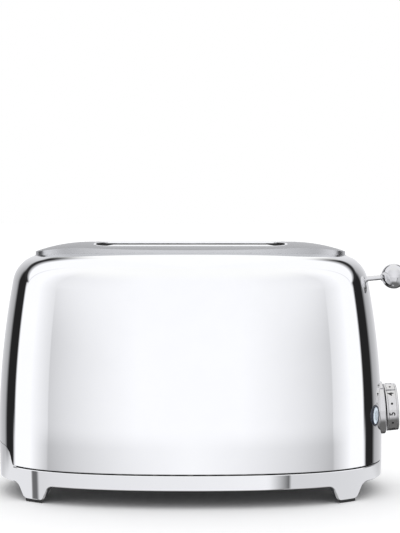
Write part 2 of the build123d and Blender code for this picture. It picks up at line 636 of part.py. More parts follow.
# ---------------------------------------------------------------- carriage, lever and bread carriers
SHEET_T = 1.2
CARRIAGE_X = 107.0
CARRIAGE_WIDTH = 60.0
FLANGE_X, FLANGE_WIDTH = 94.0, 40.0
ARM_X = 119.0
ARM_TOP, ARM_WIDTH = 172.0, 16.0
KEEPER_FOOT, KEEPER_FOOT_WIDTH = 6.0, 20.0
STEM_SEAT = 3.0          # depth of the stem in the ball
STEM_TAIL = 5.0          # of the stem past the arm
stem_axis = Plane(
    (BODY_X + BALL_X, 0, BALL_Z),
    x_dir=(0, 1, 0),
    z_dir=(-cos(radians(STEM_TILT)), 0, -sin(radians(STEM_TILT))),
)
with BuildPart() as carriage:
    # upright plate that carries both bread carriers
    with BuildSketch(across(CARRIAGE_X)):
        with Locations((0, (CARRIAGE_LOW + CARRIAGE_HIGH) / 2)):
            Rectangle(CARRIAGE_WIDTH, CARRIAGE_HIGH - CARRIAGE_LOW)
    extrude(amount=SHEET_T)
    # two flanges that slide on the rods
    for flange_z in (CARRIAGE_LOW, CARRIAGE_HIGH - SHEET_T):
        with BuildSketch(level(flange_z, (FLANGE_X + CARRIAGE_X) / 2, 0)):
            Rectangle(CARRIAGE_X - FLANGE_X, FLANGE_WIDTH)
        extrude(amount=SHEET_T)
    with Locations([(BODY_X + ROD_X, side * ROD_Y, CARRIAGE_HIGH) for side in (-1, 1)]):
        Hole(ROD_R + RUN_FIT, depth=CARRIAGE_HIGH - CARRIAGE_LOW + 1)
    # arm out to the lever
    with BuildSketch(level(CARRIAGE_HIGH - SHEET_T, (CARRIAGE_X + ARM_X) / 2 + SHEET_T, 0)):
        Rectangle(ARM_X - CARRIAGE_X, ARM_WIDTH)
    extrude(amount=SHEET_T)
    with BuildSketch(across(ARM_X)):
        with Locations((0, (CARRIAGE_HIGH - SHEET_T + ARM_TOP) / 2)):
            Rectangle(ARM_WIDTH, ARM_TOP - CARRIAGE_HIGH + SHEET_T)
    extrude(amount=SHEET_T)
    # foot that holds the magnet's keeper
    with BuildSketch(level(CARRIAGE_LOW, (CARRIAGE_X + MAGNET_X + KEEPER_FOOT) / 2, 0)):
        Rectangle(MAGNET_X + KEEPER_FOOT - CARRIAGE_X, KEEPER_FOOT_WIDTH)
    extrude(amount=SHEET_T)
    with BuildSketch(stem_axis):
        Circle(STEM_R)
    extrude(amount=BALL_X - ARM_X + STEM_TAIL, mode=Mode.SUBTRACT)
carriage.part.label = "carriage"
export_step(carriage.part, "parts/carriage.step")

with BuildPart() as lever_stem:
    with BuildSketch(stem_axis.offset(BALL_R - STEM_SEAT)):
        Circle(STEM_R)
    extrude(amount=(BALL_X - ARM_X) / cos(radians(STEM_TILT)) - BALL_R + STEM_TAIL)
lever_stem.part.label = "lever_stem"
export_step(lever_stem.part, "parts/lever_stem.step")

with BuildPart() as lever_ball:
    with Locations(stem_axis):
        Sphere(BALL_R)
    with BuildSketch(stem_axis.offset(BALL_R - STEM_SEAT)):
        Circle(STEM_R)
    extrude(amount=STEM_TAIL, mode=Mode.SUBTRACT)
lever_ball.part.label = "lever_ball"
export_step(lever_ball.part, "parts/lever_ball.step")

KEEPER_T, KEEPER_POST = 3.0, 2.0
with BuildPart() as keeper_plate:
    with BuildSketch(level(CARRIAGE_LOW - KEEPER_POST - KEEPER_T, MAGNET_X, 0)):
        Rectangle(9, 32)
    extrude(amount=KEEPER_T)
    with BuildSketch(level(CARRIAGE_LOW - KEEPER_POST, MAGNET_X, 0)):
        Circle(2)
    extrude(amount=KEEPER_POST)
keeper_plate.part.label = "keeper_plate"
export_step(keeper_plate.part, "parts/keeper_plate.step")

RACK_HALF = 8.0
RACK_WIRES, RACK_PITCH = 7, 20.0
RACK_HEIGHT = 8.0
RACK_REACH = 5.0         # past the left chassis plate
RACK_RISE = 3.0          # of the wires over the middle of the strip
for carrier_name, carrier_y in (("front", -SLOT_Y), ("rear", SLOT_Y)):
    with BuildPart() as bread_carrier:
        with BuildSketch(along(carrier_y + SHEET_T / 2)):
            with Locations(((CARRIAGE_X - CHASSIS_X - RACK_REACH) / 2, CARRIER_Z)):
                Rectangle(CARRIAGE_X + CHASSIS_X + RACK_REACH, RACK_HEIGHT)
        extrude(amount=SHEET_T)
        # cross wires that the bread stands on
        for wire in range(RACK_WIRES):
            wire_x = (wire - (RACK_WIRES - 1) / 2) * RACK_PITCH
            with BuildSketch(along(carrier_y + RACK_HALF)):
                with Locations((wire_x, CARRIER_Z + RACK_RISE)):
                    Circle(WIRE_R)
            extrude(amount=2 * RACK_HALF)
    bread_carrier.part.label = f"bread_carrier_{carrier_name}"
    export_step(bread_carrier.part, f"parts/bread_carrier_{carrier_name}.step")

# ---------------------------------------------------------------- wire bread guards
GUARD_TOP = 174.0
GUARD_HALF_LENGTH = 76.0
GUARD_RAILS = (90.0, 132.0, GUARD_TOP)
GUARD_UPRIGHTS = 9
GUARD_PITCH = 18.1
HINGE_END = 2.0          # of a hinge wire past a chassis plate
GUARD_NAMES = ("front_a", "front_b", "rear_a", "rear_b")
for guard_name, guard_y in zip(GUARD_NAMES, PIVOT_Y):
    with BuildPart() as bread_guard:
        # hinge wire, held in the two chassis plates
        with BuildSketch(across(-CHASSIS_X - CHASSIS_T - HINGE_END)):
            with Locations((guard_y, GUARD_PIVOT_Z)):
                Circle(PIVOT_R)
        extrude(amount=2 * (CHASSIS_X + CHASSIS_T + HINGE_END))
        for rail_z in GUARD_RAILS:
            with BuildSketch(across(-GUARD_HALF_LENGTH)):
                with Locations((guard_y, rail_z)):
                    Circle(WIRE_R)
            extrude(amount=2 * GUARD_HALF_LENGTH)
        for upright in range(GUARD_UPRIGHTS):
            upright_x = (upright - (GUARD_UPRIGHTS - 1) / 2) * GUARD_PITCH
            with BuildSketch(level(GUARD_PIVOT_Z, upright_x, guard_y)):
                Circle(UPRIGHT_R)
            extrude(amount=GUARD_TOP - GUARD_PIVOT_Z)
    bread_guard.part.label = f"bread_guard_{guard_name}"
    export_step(bread_guard.part, f"parts/bread_guard_{guard_name}.step")

# ---------------------------------------------------------------- control end: board, switches, terminals
BOARD_FACE_X = 127.0
BOARD_SHEET_T = 1.6
BOARD_TOP, BOARD_WIDTH = 90.0, 108.0
with BuildPart() as circuit_board:
    with BuildSketch(across(BOARD_FACE_X)):
        with Locations((0, (COVER_TOP + BOARD_TOP) / 2)):
            Rectangle(BOARD_WIDTH, BOARD_TOP - COVER_TOP)
    extrude(amount=BOARD_SHEET_T)
circuit_board.part.label = "circuit_board"
export_step(circuit_board.part, "parts/circuit_board.step")

with BuildPart() as board_components:
    with Locations((BODY_X + BOARD_FACE_X - 4, -36, 44)):
        Box(8, 14, 18)
    with Locations((BODY_X + BOARD_FACE_X - 3, 34, 36)):
        Cylinder(5, 6, rotation=(0, 90, 0))
    with Locations((BODY_X + BOARD_FACE_X - 1.5, 36, 60)):
        Box(3, 10, 16)
    with Locations((BODY_X + BOARD_FACE_X - 2.5, -38, 74)):
        Box(5, 12, 7)
board_components.part.label = "board_components"
export_step(board_components.part, "parts/board_components.step")

SHAFT_R = 3.0
POT_FRONT = -9.0
POT_R = 8.5
POT_BODY = 9.2
BUSH_R = 5.0
BUSH_LENGTH = 5.0
SHAFT_DEPTH = 6.0        # of the shaft in the potentiometer, and in the knob
with BuildPart() as potentiometer:
    with BuildSketch(dial_plane.offset(POT_FRONT)):
        Circle(POT_R)
    extrude(amount=-POT_BODY)
    with Locations([(BODY_X + BOARD_FACE_X + 2.6, pin_y, DIAL_Z) for pin_y in (-5, 0, 5)]):
        Box(2, 1, 1)
    with BuildSketch(dial_plane.offset(POT_FRONT)):
        Circle(BUSH_R)
    extrude(amount=BUSH_LENGTH)
    with BuildSketch(dial_plane.offset(POT_FRONT + BUSH_LENGTH)):
        Circle(SHAFT_R + RUN_FIT)
    extrude(amount=-BUSH_LENGTH - SHAFT_DEPTH - 1, mode=Mode.SUBTRACT)
potentiometer.part.label = "potentiometer"
export_step(potentiometer.part, "parts/potentiometer.step")

SWITCH_DEPTH = -9.0
SWITCH_Y = 34.6
with BuildPart() as button_switches:
    for button_side in BUTTONS.values():
        with BuildSketch(button_plane(button_side).offset(SWITCH_DEPTH)):
            Rectangle(6, 6)
        extrude(amount=-4)
        # post on the board
        with BuildSketch(across(BOARD_FACE_X + BOARD_SHEET_T)):
            with Locations((button_side * SWITCH_Y, BUTTON_Z)):
                Rectangle(5, 5)
        extrude(amount=5)
button_switches.part.label = "button_switches"
export_step(button_switches.part, "parts/button_switches.step")

with BuildPart() as terminal_block:
    with BuildSketch(level(COVER_TOP, 100, 62)):
        Rectangle(24, 14)
    extrude(amount=12)
    with BuildSketch(level(COVER_TOP + 12, 100, 62)):
        with GridLocations(7, 1, 3, 1):
            Circle(2)
    extrude(amount=-8, mode=Mode.SUBTRACT)
terminal_block.part.label = "terminal_block"
export_step(terminal_block.part, "parts/terminal_block.step")

with BuildPart() as cord_gland:
    with BuildSketch(along(GLAND_FRONT)):
        with Locations((GLAND_X, GLAND_Z)):
            Circle(GLAND_R - 0.1)
            Circle(CORD_R, mode=Mode.SUBTRACT)
    extrude(amount=9)
cord_gland.part.label = "cord_gland"
export_step(cord_gland.part, "parts/cord_gland.step")

# ---------------------------------------------------------------- dial
BEZEL_R = 21.0
KNOB_R = 19.0
KNOB_BACK = 6.9
KNOB_FRONT = 17.0
KNOB_DRAFT = 2
KNOB_FILLET = 1.2
BEZEL_BACK = -4.0        # before it is trimmed to the shell
BEZEL_FRONT = 6.4
BEZEL_SEAT = 0.02
BEZEL_CHAMFER = 0.7
with BuildPart() as dial_bezel:
    with BuildSketch(dial_plane.offset(BEZEL_BACK)):
        Circle(BEZEL_R)
        Circle(SHAFT_R + 1, mode=Mode.SUBTRACT)
    extrude(amount=BEZEL_FRONT - BEZEL_BACK)
    chamfer(dial_bezel.faces().sort_by(Axis.X)[-1].outer_wire().edges(), length=BEZEL_CHAMFER)
    add(body_form(SHELL_BOTTOM - 1, -BEZEL_SEAT), mode=Mode.SUBTRACT)
dial_bezel.part.label = "dial_bezel"
export_step(dial_bezel.part, "parts/dial_bezel.step")

with BuildPart() as dial_shaft:
    with BuildSketch(dial_plane.offset(POT_FRONT - SHAFT_DEPTH)):
        Circle(SHAFT_R)
    extrude(amount=KNOB_BACK - POT_FRONT + 2 * SHAFT_DEPTH)
dial_shaft.part.label = "dial_shaft"
export_step(dial_shaft.part, "parts/dial_shaft.step")

with BuildPart() as dial_knob:
    with BuildSketch(dial_plane.offset(KNOB_BACK)):
        Circle(KNOB_R)
    extrude(amount=KNOB_FRONT - KNOB_BACK, taper=KNOB_DRAFT)
    fillet(dial_knob.faces().sort_by(Axis.X)[-1].edges(), radius=KNOB_FILLET)
    with BuildSketch(dial_plane.offset(KNOB_BACK)):
        Circle(SHAFT_R)
    extrude(amount=SHAFT_DEPTH, mode=Mode.SUBTRACT)
dial_knob.part.label = "dial_knob"
export_step(dial_knob.part, "parts/dial_knob.step")

# ---------------------------------------------------------------- buttons
CAP_CLEARANCE = 0.35
RING_DEPTH, RING_RISE, RING_CHAMFER = 4.0, 0.6, 0.3
CAP_DEPTH, CAP_RISE, CAP_FILLET = 3.5, 0.8, 0.6
PLUNGER_R = 1.5
PLUNGER_GAP = 0.4        # left between a pressed plunger and its switch
for button_name, button_side in BUTTONS.items():
    face_plane = button_plane(button_side)
    with BuildPart() as button_ring:
        with BuildSketch(face_plane.offset(-RING_DEPTH)):
            Circle(BUTTON_RING_R)
            Circle(BUTTON_R + CAP_CLEARANCE, mode=Mode.SUBTRACT)
        extrude(amount=RING_DEPTH + RING_RISE)
        outer_edges = button_ring.edges().sort_by(Axis(face_plane.origin, face_plane.z_dir))[-2:]
        chamfer(outer_edges, length=RING_CHAMFER)
    button_ring.part.label = f"button_ring_{button_name}"
    export_step(button_ring.part, f"parts/button_ring_{button_name}.step")
    with BuildPart() as button_cap:
        with BuildSketch(face_plane.offset(-CAP_DEPTH)):
            Circle(BUTTON_R)
        extrude(amount=CAP_DEPTH + CAP_RISE)
        fillet(button_cap.edges().sort_by(Axis(face_plane.origin, face_plane.z_dir))[-1], radius=CAP_FILLET)
        with BuildSketch(face_plane.offset(-CAP_DEPTH)):
            Circle(PLUNGER_R)
        extrude(amount=SWITCH_DEPTH + CAP_DEPTH + BUTTON_STROKE + PLUNGER_GAP)
    button_cap.part.label = f"button_cap_{button_name}"
    export_step(button_cap.part, f"parts/button_cap_{button_name}.step")

# ---------------------------------------------------------------- fasteners
SCREW_HEAD, SCREW_HEAD_R, SCREW_LENGTH = 1.5, 2.8, 8.0
with BuildPart() as cover_screws:
    for x, y in COVER_SCREWS:
        with BuildSketch(level(COVER_BOTTOM - SCREW_HEAD, x, y)):
            Circle(SCREW_HEAD_R)
        extrude(amount=SCREW_HEAD)
        with BuildSketch(level(COVER_BOTTOM, x, y)):
            Circle(SCREW_R)
        extrude(amount=SCREW_LENGTH)
cover_screws.part.label = "cover_screws"
export_step(cover_screws.part, "parts/cover_screws.step")
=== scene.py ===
import json
import math

import bmesh
import bpy
import numpy as np
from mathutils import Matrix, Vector


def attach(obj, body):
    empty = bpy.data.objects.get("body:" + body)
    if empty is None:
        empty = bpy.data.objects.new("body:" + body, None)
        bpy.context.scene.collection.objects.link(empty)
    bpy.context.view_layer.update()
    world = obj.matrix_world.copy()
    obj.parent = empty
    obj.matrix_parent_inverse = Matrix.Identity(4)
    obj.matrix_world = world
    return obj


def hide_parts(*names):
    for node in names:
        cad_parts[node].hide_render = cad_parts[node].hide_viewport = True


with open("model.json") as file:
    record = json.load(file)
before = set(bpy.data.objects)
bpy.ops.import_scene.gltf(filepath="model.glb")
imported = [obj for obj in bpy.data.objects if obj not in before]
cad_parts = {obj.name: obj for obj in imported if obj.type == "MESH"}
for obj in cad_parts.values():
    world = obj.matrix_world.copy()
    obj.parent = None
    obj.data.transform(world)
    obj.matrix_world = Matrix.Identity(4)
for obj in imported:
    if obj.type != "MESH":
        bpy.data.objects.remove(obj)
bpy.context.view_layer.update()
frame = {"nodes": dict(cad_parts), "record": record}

# Lengths below are millimetres in the toaster's own frame, as in the CAD: X from the middle of the body.
MM = 0.001
BODY_X = -9.8
HALF_LENGTH, HALF_DEPTH = 152.5, 97.5
END_HANDLE, FRONT_HANDLE = 0.50, 0.83
SHELL_BOTTOM, SHELL_WALL, SHELL_TOP, STRAIGHT_TOP = 26.0, 1.2, 192.0, 45.0
BAND_TOP, BAND_BOTTOM, BAND_WALL, PAD_T = 25.2, 13.4, 2.5, 2.0
PLATE_APEX, PLATE_HALF_LENGTH, PLATE_HALF_WIDTH = 196.7, 123.2, 52.0
PLATE_FLAT, PLATE_END_R, PLATE_CROSS_R, PLATE_GAP = 80.0, 130.0, 340.0, 0.4
SLOT_Y, SLOT_HALF_WIDTH, SLOT_HALF_LENGTH, SLOT_CORNER = 19.5, 14.0, 75.0, 11.0
TRAY_FOOT = 52.0

scene = bpy.context.scene
scene.view_settings.view_transform = "Standard"


# ---------------------------------------------------------------- the body's form
class Profile:
    """One side of the body seen edge on, as in the CAD: upright foot, lean, shoulder and crown."""

    def __init__(self, half, lean, shoulder, turn, crown):
        lean_sin, lean_cos = math.sin(math.radians(lean)), math.cos(math.radians(lean))
        turn_sin, turn_cos = math.sin(math.radians(turn)), math.cos(math.radians(turn))
        rise = SHELL_TOP - STRAIGHT_TOP - shoulder * (turn_sin - lean_sin) - crown * (1 - turn_sin)
        side = rise / lean_sin
        first = (half - side, STRAIGHT_TOP)
        second = (first[0] + (side - shoulder) * lean_cos, first[1] + (side - shoulder) * lean_sin)
        third = (second[0] + (shoulder - crown) * turn_cos, second[1] + (shoulder - crown) * turn_sin)
        self.half = half
        self.arcs = list(zip((first, second, third), (side, shoulder, crown), (lean_sin, turn_sin, 1)))

    def width(self, z, wall=0.0):
        z = np.asarray(z, float)
        out = np.full(z.shape, self.half - wall)
        done = z <= STRAIGHT_TOP
        for (cx, cz), r, end in self.arcs:
            here = ~done & (z <= cz + (r - wall) * end + 1e-6)
            out[here] = cx + np.sqrt(np.maximum((r - wall) ** 2 - (z[here] - cz) ** 2, 0))
            done |= here
        out[~done] = self.arcs[-1][0][0]
        return out


END = Profile(HALF_LENGTH, 10.8, 24, 64, 75)
SIDE = Profile(HALF_DEPTH, 14.0, 34, 65, 60)


def unit_outline(t):
    """Plan outline scaled to 1 by 1; t runs 0 to 4, a quarter turn for each unit, from +X towards +Y."""
    t = np.asarray(t, float) % 4
    quarter = np.floor(t).astype(int)
    u = t - quarter
    v = np.where(quarter % 2 == 1, 1 - u, u)
    x = (1 - v) ** 3 + 3 * (1 - v) ** 2 * v + 3 * (1 - v) * v ** 2 * FRONT_HANDLE
    y = 3 * (1 - v) ** 2 * v * END_HANDLE + 3 * (1 - v) * v ** 2 + v ** 3
    return x * np.where((quarter == 1) | (quarter == 2), -1, 1), y * np.where(quarter >= 2, -1, 1)


TABLE_T = np.linspace(0, 4, 8001)
_ux, _uy = unit_outline(TABLE_T[:-1])
TABLE_ANGLE = np.unwrap(np.append(np.arctan2(_uy, _ux), 2 * math.pi + math.atan2(_uy[0], _ux[0])))


def outline_t(x, y):
    """The outline parameter in the direction of a point given in unit coordinates."""
    return np.interp(np.arctan2(y, x) % (2 * math.pi), TABLE_ANGLE, TABLE_T)


def form_normals(points, width_x, width_y):
    """Exact outward normals of the form whose half widths are functions of height."""
    x, y, z = points[:, 0], points[:, 1], points[:, 2]
    wx, wy = width_x(z), width_y(z)
    t = outline_t(x / wx, y / wy)
    step, rise = 1e-4, 0.05
    ax, ay = unit_outline(t - step)
    bx, by = unit_outline(t + step)
    ux, uy = unit_outline(t)
    along = np.stack([wx * (bx - ax), wy * (by - ay), np.zeros_like(z)], -1)
    dx = (width_x(z + rise) - width_x(z - rise)) / (2 * rise)
    dy = (width_y(z + rise) - width_y(z - rise)) / (2 * rise)
    up = np.stack([dx * ux, dy * uy, np.ones_like(z)], -1)
    normal = np.cross(along, up)
    return normal / np.linalg.norm(normal, axis=1, keepdims=True)


def crown_z(x, y, rise=0.0):
    """Height of the top plate's crowned surface."""
    radius = PLATE_CROSS_R + rise
    ridge = PLATE_APEX + rise - radius + np.sqrt(radius ** 2 - np.asarray(y, float) ** 2)
    beyond = np.maximum(np.abs(x) - PLATE_FLAT, 0)
    hinge = PLATE_APEX - PLATE_END_R
    return np.where(beyond > 0, hinge + np.sqrt(np.maximum((ridge - hinge) ** 2 - beyond ** 2, 0)), ridge)


# ---------------------------------------------------------------- mesh helpers
def make_object(name, points, faces):
    """Mesh object from points in millimetres."""
    mesh = bpy.data.meshes.new(name)
    co = np.asarray(points, float).reshape(-1, 3)
    co = (co + np.array([BODY_X, 0, 0])) * MM
    mesh.from_pydata(co.tolist(), [], faces)
    work = bmesh.new()
    work.from_mesh(mesh)
    bmesh.ops.remove_doubles(work, verts=work.verts, dist=1e-7)
    bmesh.ops.recalc_face_normals(work, faces=work.faces)
    work.to_mesh(mesh)
    work.free()
    obj = bpy.data.objects.new(name, mesh)
    scene.collection.objects.link(obj)
    return obj


def grid_faces(rows, cols, wrap_rows=False, wrap_cols=True):
    """Four-sided faces over a grid of points, joined end to end where it wraps."""
    faces = []
    for r in range(rows if wrap_rows else rows - 1):
        for c in range(cols if wrap_cols else cols - 1):
            r2, c2 = (r + 1) % rows, (c + 1) % cols
            faces.append((r * cols + c, r * cols + c2, r2 * cols + c2, r2 * cols + c))
    return faces


def smooth(obj, angle=35.0):
    """Smooth shading, with edges sharper than the angle left crisp."""
    obj.data.shade_smooth()
    obj.data.set_sharp_from_angle(angle=math.radians(angle))
    return obj


def set_form_normals(obj, width_x, width_y, limit=0.96):
    """Gives the outer faces their exact normals; cut faces and edges keep flat ones."""
    mesh = obj.data
    mesh.shade_smooth()
    count = len(mesh.loops)
    loop_vertex = np.empty(count, int)
    mesh.loops.foreach_get("vertex_index", loop_vertex)
    co = np.empty(len(mesh.vertices) * 3)
    mesh.vertices.foreach_get("co", co)
    co = co.reshape(-1, 3) / MM - np.array([BODY_X, 0, 0])
    face_normal = np.empty(len(mesh.polygons) * 3)
    mesh.polygons.foreach_get("normal", face_normal)
    face_normal = face_normal.reshape(-1, 3)
    sizes = np.empty(len(mesh.polygons), int)
    mesh.polygons.foreach_get("loop_total", sizes)
    loop_face = np.repeat(np.arange(len(mesh.polygons)), sizes)
    exact = form_normals(co, width_x, width_y)[loop_vertex]
    flat = face_normal[loop_face]
    on_form = (exact * flat).sum(1) > limit
    mesh.normals_split_custom_set(np.where(on_form[:, None], exact, flat).tolist())
    return obj


def cutter(name, ring, offset):
    """Closed prism from a ring of points, moved by offset; used only to cut."""
    ring = np.asarray(ring, float)
    count = len(ring)
    points = np.concatenate([ring, ring + np.asarray(offset, float)])
    faces = [(i, (i + 1) % count, count + (i + 1) % count, count + i) for i in range(count)]
    faces += [tuple(range(count)), tuple(range(2 * count - 1, count - 1, -1))]
    return make_object(name, points, faces)


def cut(obj, tools, operation="DIFFERENCE"):
    """Applies Boolean cuts and removes the tools."""
    for tool in tools:
        modifier = obj.modifiers.new("cut", "BOOLEAN")
        modifier.operation = operation
        modifier.solver = "EXACT"
        modifier.object = tool
    depsgraph = bpy.context.evaluated_depsgraph_get()
    result = bpy.data.meshes.new_from_object(obj.evaluated_get(depsgraph))
    obj.modifiers.clear()
    obj.data = result
    for tool in tools:
        bpy.data.objects.remove(tool)
    return obj


def lathe(name, profile, origin, axis, segments=128, angle=30.0):
    """Turned piece: profile is (radius, height along axis) pairs in millimetres, closed on itself."""
    axis = Vector(axis).normalized()
    side = Vector((0, 1, 0)) if abs(axis.y) < 0.9 else Vector((1, 0, 0))
    side = (side - axis * side.dot(axis)).normalized()
    other = axis.cross(side)
    points = []
    for radius, height in profile:
        for s in range(segments):
            a = 2 * math.pi * s / segments
            spoke = side * math.cos(a) + other * math.sin(a)
            points.append(Vector(origin) + axis * height + spoke * radius)
    obj = make_object(name, [tuple(p) for p in points], grid_faces(len(profile), segments, wrap_rows=True))
    bm = bmesh.new()
    bm.from_mesh(obj.data)
    bmesh.ops.dissolve_degenerate(bm, dist=1e-7, edges=bm.edges)
    bm.to_mesh(obj.data)
    bm.free()
    return smooth(obj, angle)


def arc(cx, cy, r, start, end, steps):
    """Points of an arc, angles in degrees."""
    return [
        (cx + r * math.cos(math.radians(start + (end - start) * i / steps)),
         cy + r * math.sin(math.radians(start + (end - start) * i / steps)))
        for i in range(steps + 1)
    ]


def place(obj, body, slot_name, material, *nodes):
    """Every new piece gets its material, its body and the CAD nodes it stands for; the finish slot
    argument is not used.
    """
    obj.data.materials.clear()
    obj.data.materials.append(material)
    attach(obj, body)
    if nodes:
        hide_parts(*nodes)
    return obj


def line_inside(obj, width_x, width_y, wall):
    """Gives the faces on the hidden side of a polished shell a near-black metal: painted shade for the
    inside.
    """
    obj.data.materials.append(MAT["painted_shade_dark"])
    for polygon in obj.data.polygons:
        x, y, z = (c / MM for c in polygon.center)
        t = outline_t((x - BODY_X) / width_x(z), y / width_y(z))
        ux, uy = unit_outline(t)
        depth = math.hypot(width_x(z) * ux, width_y(z) * uy) - math.hypot(x - BODY_X, y)
        if depth > wall * 0.6:
            polygon.material_index = 1


# ---------------------------------------------------------------- materials
def material(name, colour, metallic, roughness, **sockets):
    """Plain material; sockets are further inputs of the shader, with _ for a space."""
    mat = bpy.data.materials.new(name)
    mat.use_nodes = True
    shader = mat.node_tree.nodes["Principled BSDF"]
    shader.inputs["Base Color"].default_value = (*colour, 1)
    shader.inputs["Metallic"].default_value = metallic
    shader.inputs["Roughness"].default_value = roughness
    for key, value in sockets.items():
        shader.inputs[key.replace("_", " ")].default_value = value
    return mat


GRAIN_DEPTH, GRAIN_DETAIL = 0.0002, 4.0
GRAIN_LOW, GRAIN_HIGH = 0.3, 0.7


def add_grain(mat, scale, stretch, colour_spread, rough, bump):
    """Noise in object space drives small changes of colour, roughness and surface height."""
    tree = mat.node_tree
    shader = tree.nodes["Principled BSDF"]
    coords = tree.nodes.new("ShaderNodeTexCoord")
    mapping = tree.nodes.new("ShaderNodeMapping")
    mapping.inputs["Scale"].default_value = stretch
    noise = tree.nodes.new("ShaderNodeTexNoise")
    noise.inputs["Scale"].default_value = scale
    noise.inputs["Detail"].default_value = GRAIN_DETAIL
    tree.links.new(coords.outputs["Object"], mapping.inputs["Vector"])
    tree.links.new(mapping.outputs["Vector"], noise.inputs["Vector"])
    spread = tree.nodes.new("ShaderNodeMapRange")
    spread.inputs["From Min"].default_value = GRAIN_LOW
    spread.inputs["From Max"].default_value = GRAIN_HIGH
    spread.inputs["To Min"].default_value = rough[0]
    spread.inputs["To Max"].default_value = rough[1]
    tree.links.new(noise.outputs["Fac"], spread.inputs["Value"])
    tree.links.new(spread.outputs["Result"], shader.inputs["Roughness"])
    if colour_spread:
        base = shader.inputs["Base Color"].default_value[:3]
        ramp = tree.nodes.new("ShaderNodeValToRGB")
        ramp.color_ramp.elements[0].position = GRAIN_LOW
        ramp.color_ramp.elements[1].position = GRAIN_HIGH
        ramp.color_ramp.elements[0].color = (*[c * (1 - colour_spread) for c in base], 1)
        ramp.color_ramp.elements[1].color = (*[min(1, c * (1 + colour_spread)) for c in base], 1)
        tree.links.new(noise.outputs["Fac"], ramp.inputs["Fac"])
        tree.links.new(ramp.outputs["Color"], shader.inputs["Base Color"])
    if bump:
        relief = tree.nodes.new("ShaderNodeBump")
        relief.inputs["Strength"].default_value = bump
        relief.inputs["Distance"].default_value = GRAIN_DEPTH
        tree.links.new(noise.outputs["Fac"], relief.inputs["Height"])
        tree.links.new(relief.outputs["Normal"], shader.inputs["Normal"])
    return mat


MAT = {}


def finish(name, colour, metallic, roughness, scale, stretch=(1, 1, 1), spread=0.0, rough=(0.3, 0.4),
           bump=0.0, **sockets):
    """Adds a procedural finish to MAT; spread, rough and bump say how far its grain goes."""
    plain = material(name, colour, metallic, roughness, **sockets)
    MAT[name] = add_grain(plain, scale, stretch, spread, rough, bump)


finish("chrome", (0.90, 0.905, 0.91), 1, 0.03, 60, spread=0.006, rough=(0.015, 0.045))
finish("satin_plate", (0.24, 0.244, 0.252), 1, 0.26, 1600,
       stretch=(0.02, 1, 1), spread=0.03, rough=(0.22, 0.29), bump=0.006)
finish("lip_chrome", (0.88, 0.885, 0.89), 1, 0.06, 80, spread=0.006, rough=(0.04, 0.09))
finish("knob_satin", (0.66, 0.655, 0.655), 1, 0.14, 900,
       stretch=(1, 0.05, 0.05), spread=0.05, rough=(0.10, 0.17), bump=0.02)
finish("bezel_chrome", (0.66, 0.655, 0.66), 1, 0.12, 90, spread=0.01, rough=(0.09, 0.16))
# a darker copy of the chrome: painted shade for the lever ball and stem
finish("chrome_with_painted_shade", (0.70, 0.70, 0.71), 1, 0.03, 90, spread=0.01, rough=(0.02, 0.06))
finish("black_plastic", (0.018, 0.019, 0.021), 0, 0.45, 1400, spread=0.25, rough=(0.38, 0.55), bump=0.25)
finish("pad_rubber", (0.02, 0.02, 0.02), 0, 0.8, 900, spread=0.3, rough=(0.7, 0.9), bump=0.3)
finish("cord_rubber", (0.03, 0.03, 0.03), 0, 0.7, 800, spread=0.3, rough=(0.55, 0.8), bump=0.25)
finish("inner_steel", (0.55, 0.55, 0.54), 1, 0.35, 300,
       stretch=(1, 1, 0.08), spread=0.10, rough=(0.28, 0.45), bump=0.08)
finish("bright_rod", (0.68, 0.68, 0.68), 1, 0.2, 500,
       stretch=(0.1, 1, 1), spread=0.06, rough=(0.15, 0.3), bump=0.03)
finish("reflector", (0.70, 0.70, 0.69), 1, 0.25, 250,
       stretch=(0.1, 1, 1), spread=0.08, rough=(0.2, 0.36), bump=0.05)
finish("mica", (0.52, 0.46, 0.33), 0, 0.4, 220, spread=0.35, rough=(0.3, 0.55), bump=0.3)
finish("ribbon", (0.34, 0.30, 0.27), 1, 0.45, 400, spread=0.3, rough=(0.35, 0.6), bump=0.1)
finish("core_iron", (0.25, 0.25, 0.26), 1, 0.5, 500, spread=0.2, rough=(0.4, 0.6), bump=0.2)
finish("coil_copper", (0.62, 0.28, 0.12), 1, 0.35, 900,
       stretch=(0.05, 0.05, 1), spread=0.25, rough=(0.25, 0.45), bump=0.5)
finish("board_green", (0.03, 0.16, 0.07), 0, 0.3, 600, spread=0.3, rough=(0.22, 0.4), bump=0.1)
finish("component_black", (0.03, 0.03, 0.03), 0, 0.5, 900, spread=0.3, rough=(0.4, 0.6), bump=0.2)
finish("terminal_white", (0.72, 0.71, 0.67), 0, 0.45, 700, spread=0.06, rough=(0.35, 0.5), bump=0.15)
finish("button_ring", (0.015, 0.022, 0.04), 0, 0.25, 800,
       spread=0.15, rough=(0.15, 0.28), bump=0.05, Coat_Weight=0.15)
finish("button_cap", (0.62, 0.71, 0.80), 0, 0.22, 700,
       spread=0.04, rough=(0.16, 0.28), bump=0.04, Coat_Weight=0.4)
# near-black metal: painted shade inside the shell and down the slot throats
finish("painted_shade_dark", (0.10, 0.10, 0.10), 1, 0.6, 400, spread=0.2, rough=(0.5, 0.7), bump=0.1)
finish("button_ink", (0.10, 0.12, 0.15), 0, 0.3, 900, spread=0.1, rough=(0.25, 0.35))
finish("ink", (0.004, 0.004, 0.004), 0, 0.45, 1500, spread=0.2, rough=(0.38, 0.52), bump=0.05)


FACES_SIDEWAYS, FACES_UP = 0.4, 0.75


